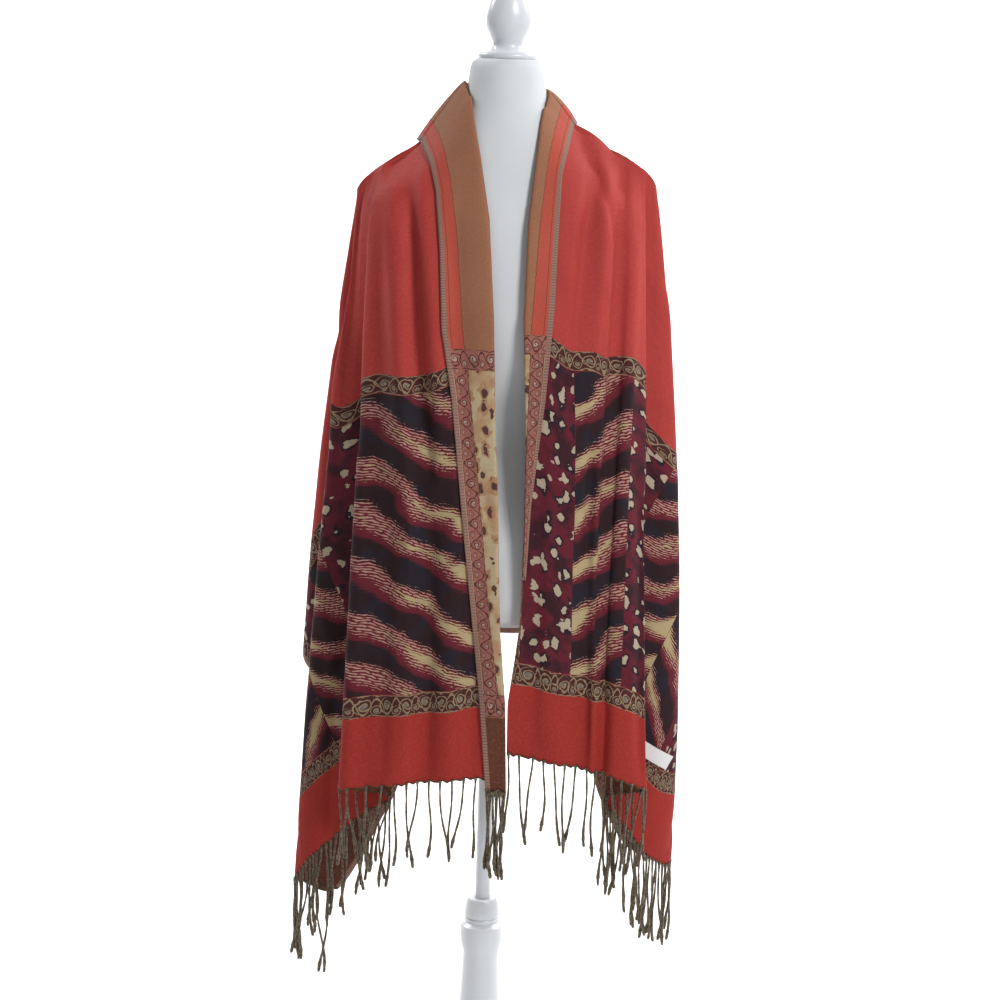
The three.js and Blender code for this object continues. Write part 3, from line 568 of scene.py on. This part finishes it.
class Weave:
    # Node arithmetic for a woven pattern on the flat cloth, s along it and t across it, in metres. A mask is
    # 1 where a motif is woven and 0 elsewhere, so the product of two masks is what they share.
    def __init__(self, tree):
        self.tree = tree

    def feed(self, sockets, values):
        # Each value is a number, a colour, the output of another node, or None
        for socket, value in zip(sockets, values):
            if isinstance(value, (int, float)):
                socket.default_value = value
            elif isinstance(value, tuple):
                socket.default_value = (*value, 1)
            elif value is not None:
                self.tree.links.new(value, socket)

    def math(self, operation, a, b=None, clamp=False):
        node = self.tree.nodes.new("ShaderNodeMath")
        node.operation = operation
        node.use_clamp = clamp
        self.feed(node.inputs, (a, b))
        return node.outputs[0]

    def times(self, a, b, clamp=False):
        return self.math("MULTIPLY", a, b, clamp)

    def plus(self, a, b):
        return self.math("ADD", a, b)

    def minus(self, a, b):
        return self.math("SUBTRACT", a, b)

    def between(self, value, low, high, soft=0.0006):
        rise = self.times(self.minus(value, low), 1 / soft, clamp=True)
        fall = self.times(self.minus(high, value), 1 / soft, clamp=True)
        return self.times(rise, fall)

    def either(self, *masks):
        result = masks[0]
        for mask in masks[1:]:
            result = self.math("MAXIMUM", result, mask)
        return result

    def paint(self, under, over, mask):
        node = self.tree.nodes.new("ShaderNodeMix")
        node.data_type = "RGBA"
        self.feed((node.inputs[0], node.inputs[6], node.inputs[7]), (mask, under, over))
        return node.outputs[2]

    def vector(self, x, y, z=0.0):
        node = self.tree.nodes.new("ShaderNodeCombineXYZ")
        self.feed(node.inputs, (x, y, z))
        return node.outputs[0]

    def noise(self, place, scale, detail=2):
        node = self.tree.nodes.new("ShaderNodeTexNoise")
        node.noise_dimensions = "2D"
        node.inputs["Scale"].default_value = scale
        node.inputs["Detail"].default_value = detail
        self.tree.links.new(place, node.inputs["Vector"])
        return self.minus(node.outputs["Fac"], 0.5)


# Bands across the cloth and along it, measured from the selvedge and from the end
BLOCK = {"start": 0.121, "end": 0.505}
BORDERS = ((0.093, 0.121), (0.505, 0.529))
SELVEDGE = 0.007
SIDE_BORDER = (0.007, 0.027)
HEM_EDGE = 0.0025
LEOPARD_BANDS = ((0.027, 0.066), (0.216, 0.300), (0.490, 0.570), (0.652, 0.724))
# Each zebra band: from t, to t, slope, and where its light core is widest (1 at the high t, -1 at the low)
ZEBRA_BANDS = ((0.066, 0.216, -0.74, -1), (0.300, 0.395, -0.74, 1), (0.395, 0.490, 0.74, -1),
               (0.570, 0.652, 0.74, 1))
ZEBRA_SPACING = 0.067
STROKE_PITCH = 0.0037
STROKE_LENGTH = 0.014
STROKE_TILT = 0.46
BLUSH_SHIFT = 0.006
LEOPARD_CELL = (0.0235, 0.0175)
SCROLL_REPEAT = 0.048
# The thin lines beside the selvedge: a straight one, and one that runs in a zigzag
OUTER_RULE = (0.0105, 0.0115)
CHAIN_RULE = (0.0258, 0.0268)
CHAIN_PITCH = 0.0085
CHAIN_SWING = 0.0022
RIB_PITCH = 0.0036
TWILL_PITCH = 0.0016
HEM_COLOR = (0.085, 0.048, 0.026)

FACE_COLORS = {
    "field": (0.43, 0.052, 0.045), "end_band": (0.35, 0.033, 0.026), "selvedge": (0.26, 0.14, 0.085),
    "border": (0.070, 0.020, 0.021), "line": (0.30, 0.215, 0.13), "petal": (0.17, 0.14, 0.12),
    "dark": (0.028, 0.013, 0.015), "navy": (0.022, 0.017, 0.025), "edge": (0.135, 0.017, 0.027),
    "light": (0.44, 0.335, 0.185), "stroke": (0.45, 0.25, 0.20), "ground": (0.125, 0.016, 0.028),
    "deep_ground": (0.045, 0.014, 0.020), "spot": (0.44, 0.36, 0.265), "halo": (0.028, 0.014, 0.022),
    "band_beside": (0.30, 0.14, 0.06), "beside_line": (0.16, 0.05, 0.03), "speck": (0.53, 0.060, 0.046),
}
REVERSE_COLORS = {
    "field": (0.325, 0.140, 0.078), "end_band": (0.125, 0.042, 0.026), "selvedge": (0.32, 0.185, 0.145),
    "border": (0.33, 0.130, 0.100), "line": (0.085, 0.030, 0.032), "petal": (0.44, 0.32, 0.26),
    "dark": (0.48, 0.36, 0.22), "navy": (0.43, 0.34, 0.23), "edge": (0.42, 0.25, 0.15),
    "light": (0.11, 0.040, 0.032), "stroke": (0.20, 0.08, 0.06), "ground": (0.50, 0.40, 0.25),
    "deep_ground": (0.44, 0.27, 0.15), "spot": (0.10, 0.045, 0.040), "halo": (0.40, 0.22, 0.12),
    "band_beside": (0.46, 0.080, 0.055), "beside_line": (0.12, 0.040, 0.025), "speck": (0.34, 0.170, 0.080),
}


def woven_material(name, colors):
    material, tree, shader = material_nodes(name, colors["field"], 0.66)
    weave = Weave(tree)
    calc, times, plus, minus = weave.math, weave.times, weave.plus, weave.minus
    between, either, paint = weave.between, weave.either, weave.paint
    shader.inputs["Sheen Weight"].default_value = 0.03
    shader.inputs["Sheen Roughness"].default_value = 0.4
    shader.inputs["Specular IOR Level"].default_value = 0.12
    place = tree.nodes.new("ShaderNodeUVMap")
    place.uv_map = "flat_cloth"
    flat = place.outputs["UV"]
    split = tree.nodes.new("ShaderNodeSeparateXYZ")
    tree.links.new(flat, split.inputs[0])
    s, across = split.outputs[0], split.outputs[1]
    # The two ends show the same pattern turned half round, so t runs from the other selvedge on the far end
    turned = calc("LESS_THAN", s, 0.0)
    turned = times(turned, minus(CLOTH_WIDTH, times(across, 2.0)))
    t = plus(across, turned)
    e = minus(CLOTH_LENGTH / 2, calc("ABSOLUTE", s))
    wander = weave.noise(flat, 13)
    ragged = weave.noise(flat, 95)
    grit = weave.noise(flat, 330, 1)
    uneven = weave.noise(weave.vector(times(e, 24), times(t, 11)), 1)

    # Plain field and end band, with specks of another tone
    in_block = between(e, BLOCK["start"], BLOCK["end"])
    color = paint(colors["field"], colors["end_band"], between(e, -1, BORDERS[0][0]))
    specks = times(calc("GREATER_THAN", grit, 0.11), 0.16)
    color = paint(color, colors["speck"], specks)

    # Leopard panels: ragged pale spots, some inside a dark halo, on a ground that darkens in places
    shade = times(plus(weave.noise(flat, 31), 0.06), 5.0, clamp=True)
    ground = paint(colors["ground"], colors["deep_ground"], shade)
    color = paint(color, ground, in_block)
    cell_height, cell_width = LEOPARD_CELL
    cells = tree.nodes.new("ShaderNodeTexVoronoi")
    cells.voronoi_dimensions = "2D"
    cells.inputs["Scale"].default_value = 1
    cells.inputs["Randomness"].default_value = 0.85
    spot_place = weave.vector(times(e, 1 / cell_height), times(t, 1 / cell_width))
    tree.links.new(spot_place, cells.inputs["Vector"])
    chance = tree.nodes.new("ShaderNodeSeparateColor")
    tree.links.new(cells.outputs["Color"], chance.inputs["Color"])
    reach = plus(cells.outputs["Distance"], times(ragged, 0.75))
    size = plus(times(chance.outputs[0], 0.22), 0.08)
    leopard = either(*[between(t, low, high) for low, high in LEOPARD_BANDS])
    leopard = times(leopard, in_block)
    halo = calc("LESS_THAN", reach, plus(size, 0.16))
    halo = times(halo, calc("GREATER_THAN", chance.outputs[1], 0.35))
    color = paint(color, colors["halo"], times(halo, leopard))
    color = paint(color, colors["spot"], times(calc("LESS_THAN", reach, size), leopard))

    # Zebra panels: slanting bands, solid in their middle on one side and broken into short strokes elsewhere
    mottle = times(plus(weave.noise(flat, 24), 0.02), 7.0, clamp=True)
    dark = paint(colors["dark"], colors["navy"], mottle)
    for low, high, slope, solid_side in ZEBRA_BANDS:
        inside = times(between(t, low, high), in_block)
        # The phase is 0 in the middle of a light band and 1 between two; lower does the same for the red edge
        slant = plus(e, times(t, slope))
        slant = plus(slant, times(wander, 0.034))
        phase = times(calc("PINGPONG", times(slant, 1 / ZEBRA_SPACING), 0.5), 2.0)
        lower = times(plus(slant, BLUSH_SHIFT), 1 / ZEBRA_SPACING)
        lower = times(calc("PINGPONG", lower, 0.5), 2.0)
        # The barb counts the strokes, and the stagger moves each one along so that their ends don't line up
        barb = plus(e, times(t, math.copysign(STROKE_TILT, slope)))
        barb = times(plus(barb, times(ragged, 0.005)), 1 / STROKE_PITCH)
        stroke = times(calc("PINGPONG", barb, 0.5), 2.0)
        stroke = plus(stroke, times(grit, 0.6))
        stagger = times(calc("FLOOR", plus(barb, 0.5)), 0.618)
        hair_end = calc("PINGPONG", plus(times(t, 1 / STROKE_LENGTH), stagger), 0.5)
        toward = times(minus(t, (low + high) / 2), solid_side / (high - low))
        core = plus(0.17, times(toward, 0.50))
        core = plus(core, times(uneven, 0.8))
        light = calc("LESS_THAN", plus(phase, times(stroke, 0.24)), core)
        reach = plus(0.50, times(uneven, 0.8))
        thin = times(minus(reach, plus(phase, times(ragged, 0.3))), 2.0)
        hair = calc("MINIMUM", calc("MINIMUM", thin, 0.52), times(hair_end, 3.0))
        strokes = calc("LESS_THAN", stroke, hair)
        blush = minus(plus(reach, 0.16), plus(lower, times(stroke, 0.10)))
        blush = times(blush, 7.0, clamp=True)
        color = paint(color, dark, inside)
        color = paint(color, colors["edge"], times(inside, blush))
        color = paint(color, colors["stroke"], times(inside, strokes))
        color = paint(color, colors["light"], times(inside, light))

    # Scroll borders: a round flower and a curled leaf by turns, on a wavy stem between two edge lines
    def scroll(along, beside, low, high):
        width = high - low
        band = between(beside, low, high)
        v = times(minus(beside, (low + high) / 2), 1 / width)
        v = plus(v, times(ragged, 0.30))
        u = times(plus(along, times(wander, 0.012)), 1 / SCROLL_REPEAT)
        swing = times(calc("COSINE", times(u, 4 * math.pi)), 0.36)
        parts = [calc("LESS_THAN", calc("ABSOLUTE", minus(v, swing)), 0.05),
                 between(v, -0.5, -0.43, 0.02), between(v, 0.43, 0.5, 0.02)]
        petals = []
        for shift, rise, rings, turns in ((0.25, 0.04, 5.8, 1), (0.75, 0.02, 5.8, -1), (0.0, -0.20, 9, 1),
                                          (0.5, -0.20, 9, -1)):
            du = minus(calc("FRACT", plus(u, 0.5 - shift)), 0.5)
            du = times(du, SCROLL_REPEAT / width)
            dv = minus(v, rise)
            radius = calc("SQRT", plus(times(du, du), times(dv, dv)))
            angle = times(calc("ARCTAN2", dv, du), turns / (2 * math.pi))
            ring = calc("FRACT", plus(times(radius, rings), angle))
            whole = calc("LESS_THAN", radius, 2.02 / rings)
            parts.append(times(calc("GREATER_THAN", ring, 0.70), whole))
            petals.append(calc("LESS_THAN", radius, 0.72 / rings))
        return band, times(either(*parts), band), times(either(*petals), band)

    plain = minus(1.0, in_block)
    pieces = [scroll(t, e, low, high) for low, high in BORDERS]
    for edge_place in (t, minus(CLOTH_WIDTH, t)):
        band, line, petal = scroll(e, edge_place, *SIDE_BORDER)
        beside = times(band, times(plain, calc("GREATER_THAN", e, BLOCK["end"])))
        color = paint(color, colors["band_beside"], beside)
        zigzag = calc("PINGPONG", times(e, 1 / CHAIN_PITCH), 0.5)
        chain = minus(edge_place, times(zigzag, CHAIN_SWING))
        rules = either(between(edge_place, *OUTER_RULE, 0.0003), between(chain, *CHAIN_RULE, 0.0003))
        color = paint(color, colors["beside_line"], rules)
        pieces.append([times(part, in_block) for part in (band, line, petal)])
    color = paint(color, colors["border"], either(*[piece[0] for piece in pieces]))
    color = paint(color, colors["petal"], either(*[piece[2] for piece in pieces]))
    color = paint(color, colors["line"], either(*[piece[1] for piece in pieces]))

    # Ribbed selvedges and the bound edge of the hem
    selvedge = either(between(t, -1, SELVEDGE), between(t, CLOTH_WIDTH - SELVEDGE, 2))
    ribs = times(calc("GREATER_THAN", calc("PINGPONG", times(e, 1 / RIB_PITCH), 0.5), 0.28), 0.45)
    color = paint(color, paint(colors["selvedge"], colors["line"], ribs), selvedge)
    color = paint(color, HEM_COLOR, calc("LESS_THAN", e, HEM_EDGE))

    # Yarn: a fine twill, and a slight change of tone from pick to pick
    tone = plus(times(wander, 0.16), times(grit, 0.20))
    tint = tree.nodes.new("ShaderNodeHueSaturation")
    tree.links.new(color, tint.inputs["Color"])
    tree.links.new(plus(1.0, tone), tint.inputs["Value"])
    tree.links.new(tint.outputs["Color"], shader.inputs["Base Color"])
    twill = calc("PINGPONG", times(plus(s, across), 1 / TWILL_PITCH), 0.5)
    add_bump(tree, shader, plus(twill, times(grit, 1.2)), 0.35, 0.0003)
    return material


shawl, hem_lines = build_shawl()
bpy.context.view_layer.objects.active = shawl
shawl.data.materials.append(woven_material("weave_face", FACE_COLORS))
shawl.data.materials.append(woven_material("weave_reverse", REVERSE_COLORS))
apply_modifier(shawl, "SOLIDIFY", thickness=CLOTH_THICKNESS, offset=0, material_offset=1, use_rim=True)
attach(shawl, "root")
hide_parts("shawl_right_front", "shawl_left_front", "shawl_back")


# The fringe: the loose warp ends of both hems, twisted by hand into two-ply strands with a small knot near
# the tip. Strands that have caught on each other hang in clumps.
# Radius, length and the lapel end's width are in millimetres; tuck, sway and spread are in metres
STRAND_RADIUS = 1.65
STRAND_LENGTH = 104
STRAND_RINGS = 30
STRAND_SIDES = 8
STRAND_TWIST = 11
LAPEL_STRANDS = 9
LAPEL_END_WIDTH = 26
ROOT_TUCK = 0.0015
CLUMP_PULL = 0.82
SWAY = 0.0035
SPREAD = 0.0032
# Thickness down a strand: share of its length, share of its radius
STRAND_PROFILE = [
    (0, 1.5), (0.03, 1.1), (0.1, 0.85), (0.55, 0.92), (0.75, 1.1), (0.85, 1.25), (0.89, 1.65), (0.915, 1.65),
    (0.94, 1.2), (0.97, 1.45), (1, 1.0),
]
# How many neighbours hang together, strand after strand, from the lapel to the corner
CLUMPS = {
    "fringe_right": (2, 1, 3, 1, 2, 1, 3, 2, 4, 3, 4, 2, 3, 5, 3, 2, 4, 3),
    "fringe_left": (1, 2, 1, 3, 2, 1, 3, 2, 4, 3, 5, 2, 4, 3, 2, 4, 3, 3),
    "fringe_lapel": (4, 5),
}


def yarn_material():
    material, tree, shader = material_nodes("fringe_yarn", (0.10, 0.08, 0.05), 0.75)
    shader.inputs["Sheen Weight"].default_value = 0.2
    fibres = texture(tree, "Noise", Scale=420, Detail=3)
    color_by(tree, shader, fibres, (0.32, (0.030, 0.021, 0.015)), (0.52, (0.115, 0.082, 0.048)),
             (0.72, (0.25, 0.195, 0.095)))
    add_bump(tree, shader, fibres, 0.5, 0.0006)
    return material


def strand_shape(root, tip, sway, phase, verts, faces):
    # A two-ply strand from its root to its tip, in metres: a lobed ring turned as it goes down
    first = len(verts)
    shares, widths = zip(*STRAND_PROFILE)
    run = tip - root
    for ring in range(STRAND_RINGS + 1):
        f = ring / STRAND_RINGS
        drift = f * f * (3 - 2 * f)
        center = root + Vector((run.x * drift, run.y * drift, run.z * f))
        center.x += sway * math.sin(math.pi * f * 1.6 + phase) * f
        center.y += sway * math.cos(math.pi * f * 1.3 + phase) * f * 0.6
        radius = STRAND_RADIUS * MM * np.interp(f, shares, widths)
        for side in range(STRAND_SIDES):
            angle = 2 * math.pi * side / STRAND_SIDES
            lobe = radius * (0.74 + 0.30 * abs(math.cos(angle)))
            turn = angle + STRAND_TWIST * f + phase
            verts.append(center + Vector((lobe * math.cos(turn), lobe * math.sin(turn), 0)))
        if ring:
            above = first + (ring - 1) * STRAND_SIDES
            below = above + STRAND_SIDES
            for side in range(STRAND_SIDES):
                beside = (side + 1) % STRAND_SIDES
                faces.append((above + side, below + side, below + beside, above + beside))
    last = len(verts) - STRAND_SIDES
    faces.append(tuple(range(first, first + STRAND_SIDES)))
    faces.append(tuple(range(last, last + STRAND_SIDES))[::-1])


def add_fringe(node, line, spacing, yarn):
    # Strands are evenly spaced across the flat cloth, so they crowd where the hem is folded
    across = np.array([flat_t for above, end, flat_t in line])
    ends = np.array([end for above, end, flat_t in line])
    span = across.max() - across.min()
    count = max(1, round(span / spacing))
    places = across.min() + (np.arange(count) + 0.5) * span / count
    order = np.argsort(across)
    roots = np.column_stack([np.interp(places, across[order], ends[order, axis]) for axis in range(3)])
    roots = [Vector(root) for root in roots]
    verts, faces = [], []
    first = 0
    for group, size in enumerate(CLUMPS[node]):
        members = roots[first:first + size]
        if not members:
            break
        middle = sum(members, Vector()) / len(members)
        for k, root in enumerate(members):
            n = first + k
            length = STRAND_LENGTH * MM * (1 + 0.09 * math.sin(n * 1.7) + 0.05 * math.sin(group * 2.3))
            pull = CLUMP_PULL if size > 1 else 0
            spread = Vector((math.sin(n * 2.4), math.cos(n * 3.1), 0)) * SPREAD
            tip = root + (middle - root) * pull + spread
            lean = max(0, (tip - root).length * 0.3)
            tip.z = root.z - length + lean + (middle.z - root.z) * 0.35 * pull
            strand_shape(root + Vector((0, 0, ROOT_TUCK)), tip, SWAY, n * 1.9, verts, faces)
        first += size
    mesh = bpy.data.meshes.new(node + "_strands")
    mesh.from_pydata(verts, [], faces)
    mesh.shade_smooth()
    fringe = add_object(node + "_strands", mesh)
    finish_piece(fringe, yarn, node, slot="fringe_yarn")
    return fringe


yarn = yarn_material()
right_line, lapel_line, left_line = hem_lines
fringes = [
    add_fringe("fringe_right", right_line, STRAND_SPACING, yarn),
    add_fringe("fringe_left", left_line, STRAND_SPACING, yarn),
    add_fringe("fringe_lapel", lapel_line, LAPEL_END_WIDTH / LAPEL_STRANDS, yarn),
]


# The label: a short length of plain white woven tape with folded ends, lying flat on the outer fold of the
# left front, and held by two rows of small stitches.
LABEL = {"width": 46, "height": 18, "tilt": 33, "x": 213, "z": 625, "lift": 3.0, "wall": 0.7}
# The label lies between these two of the left front's fold columns
LABEL_COLUMNS = (11, 13)
LABEL_STITCHES = 9
STITCH_LENGTH = 1.3
STITCH_RADIUS = 0.22
STITCH_INSET = 2
STITCH_STAND = 0.05


def on_label(along, across, lift):
    # Place on the outer fold of the left front, from a place on the label, in millimetres
    tilt = math.radians(LABEL["tilt"])
    x = LABEL["x"] + along * math.cos(tilt) - across * math.sin(tilt)
    z = LABEL["z"] - along * math.sin(tilt) - across * math.cos(tilt)
    return Vector((x, surface_depth(label_columns, x, z) - lift, z)) * MM


first_column, last_column = (column * COLUMN_STEPS for column in LABEL_COLUMNS)
label_columns = side_columns(LEFT_FOLDS, LEFT_EDGE)[0][first_column:last_column + 1]


def tape_material():
    material, tree, shader = material_nodes("label_tape", (0.80, 0.80, 0.78), 0.7)
    rib = texture(tree, "Wave", Scale=260, Distortion=0.6)
    color_by(tree, shader, rib, (0, (0.70, 0.70, 0.69)), (1, (0.84, 0.84, 0.83)))
    add_bump(tree, shader, rib, 0.3, 0.0003)
    return material


bpy.ops.object.select_all(action="DESELECT")
bpy.ops.mesh.primitive_plane_add(size=1, location=(0, 0, 0))
label = bpy.context.object
label.name = "sewn_tape"
bpy.ops.object.mode_set(mode="EDIT")
bpy.ops.mesh.subdivide(number_cuts=11)
bpy.ops.object.mode_set(mode="OBJECT")
for vertex in label.data.vertices:
    vertex.co = on_label(vertex.co.x * LABEL["width"], vertex.co.y * LABEL["height"], LABEL["lift"])
bpy.ops.object.mode_set(mode="EDIT")
bpy.ops.mesh.select_all(action="SELECT")
bpy.ops.mesh.normals_make_consistent(inside=False)
bpy.ops.object.mode_set(mode="OBJECT")
apply_modifier(label, "SOLIDIFY", thickness=LABEL["wall"] * MM, offset=0)
apply_modifier(label, "BEVEL", width=0.0002, segments=2)
tape = tape_material()
finish_piece(label, tape, "sewn_label", slot="label_tape")
label.data.shade_smooth()

stitches = []
stitch_row = LABEL["height"] - 3
lift = LABEL["lift"] + LABEL["wall"] / 2 + STITCH_STAND
for end in (-1, 1):
    along = end * (LABEL["width"] / 2 - STITCH_INSET)
    for k in range(LABEL_STITCHES):
        across = (k - (LABEL_STITCHES - 1) / 2) * stitch_row / (LABEL_STITCHES - 1)
        heading = on_label(along, across + 0.5, lift) - on_label(along, across - 0.5, lift)
        bpy.ops.object.select_all(action="DESELECT")
        bpy.ops.mesh.primitive_uv_sphere_add(segments=8, ring_count=6, radius=STITCH_RADIUS * MM)
        stitch = bpy.context.object
        bpy.ops.object.mode_set(mode="EDIT")
        bpy.ops.mesh.select_all(action="SELECT")
        bpy.ops.transform.resize(value=(1, 1, STITCH_LENGTH / STITCH_RADIUS / 2))
        bpy.ops.object.mode_set(mode="OBJECT")
        stitch.data.transform(heading.to_track_quat("Z", "Y").to_matrix().to_4x4())
        stitch.data.transform(Matrix.Translation(on_label(along, across, lift)))
        stitches.append(stitch)
bpy.ops.object.select_all(action="DESELECT")
for stitch in stitches:
    stitch.select_set(True)
bpy.context.view_layer.objects.active = stitches[0]
bpy.ops.object.join()
label_stitches = bpy.context.object
label_stitches.name = "label_stitches"
label_stitches.data.materials.clear()
label_stitches.data.materials.append(tape)
label_stitches.data.shade_smooth()
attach(label_stitches, "root")


# Studio: a pale paper sweep under and behind the form, a key light from the viewer's right, a weak fill, and
# two lights on the sweep. The sweep is one long sheet of paper, hung from above and laid along the floor.
SWEEP_WIDTH = 14
SWEEP_FRONT = -8
SWEEP_BACK = 6
SWEEP_HEIGHT = 8


def add_sweep():
    bpy.ops.object.select_all(action="DESELECT")
    bpy.ops.mesh.primitive_plane_add(size=1, location=(0, 0, 0))
    sweep = bpy.context.object
    sweep.name = "paper_sweep"
    depth = SWEEP_BACK - SWEEP_FRONT
    bpy.ops.object.mode_set(mode="EDIT")
    bpy.ops.transform.resize(value=(SWEEP_WIDTH, depth, 1))
    bpy.ops.transform.translate(value=(0, (SWEEP_BACK + SWEEP_FRONT) / 2, 0))
    bpy.ops.mesh.select_all(action="DESELECT")
    bpy.ops.object.mode_set(mode="OBJECT")
    for edge in sweep.data.edges:
        edge.select = all(sweep.data.vertices[v].co.y > 0 for v in edge.vertices)
    bpy.ops.object.mode_set(mode="EDIT")
    bpy.ops.mesh.select_mode(type="EDGE")
    bpy.ops.mesh.extrude_edges_move(TRANSFORM_OT_translate={"value": (0, 0, SWEEP_HEIGHT)})
    bpy.ops.object.mode_set(mode="OBJECT")
    apply_modifier(sweep, "BEVEL", width=2.5, segments=16)
    sweep.data.shade_smooth()
    paper = material_nodes("pale_paper", (0.9, 0.9, 0.9), 0.9)[0]
    sweep.data.materials.append(paper)


def add_light(name, place, target, size, power):
    light = bpy.data.lights.new(name, "AREA")
    light.shape = "RECTANGLE"
    light.size, light.size_y = size
    light.energy = power
    lamp = add_object(name, light)
    lamp.location = place
    lamp.rotation_euler = (Vector(target) - Vector(place)).to_track_quat("-Z", "Y").to_euler()


add_sweep()
add_light("key", (1.7, -2.1, 3.1), (0, 0, 1.2), (0.8, 0.8), 74)
add_light("fill", (-2.4, -2.6, 2.2), (0, 0, 1.1), (1.8, 1.8), 4)
add_light("sweep_left", (-3.2, 2.2, 3.6), (-1.5, 5.0, 0.4), (3.0, 2.0), 300)
add_light("sweep_right", (3.2, 2.2, 3.6), (1.5, 5.0, 0.4), (3.0, 2.0), 300)
world = bpy.data.worlds.new("studio")
bpy.context.scene.world = world
world.use_nodes = True
background = world.node_tree.nodes["Background"]
background.inputs["Color"].default_value = (1, 1, 1, 1)
background.inputs["Strength"].default_value = 0.22

# Camera: about as high as the form's neck and close to 3 m away, tipped down a little and rolled a touch
CAMERA_PLACE = (0.007, -2.9, 1.465)
CAMERA_TIP = 10.3
CAMERA_ROLL = 1.75
camera_data = bpy.data.cameras.new("camera")
camera_data.lens = 84.06
camera_data.sensor_width = 36
camera = add_object("camera", camera_data)
camera.matrix_world = (
    Matrix.Translation(CAMERA_PLACE)
    @ Matrix.Rotation(math.radians(90 - CAMERA_TIP), 4, "X")
    @ Matrix.Rotation(math.radians(CAMERA_ROLL), 4, "Z"))
bpy.context.scene.camera = camera
bpy.context.scene.view_settings.view_transform = "Standard"
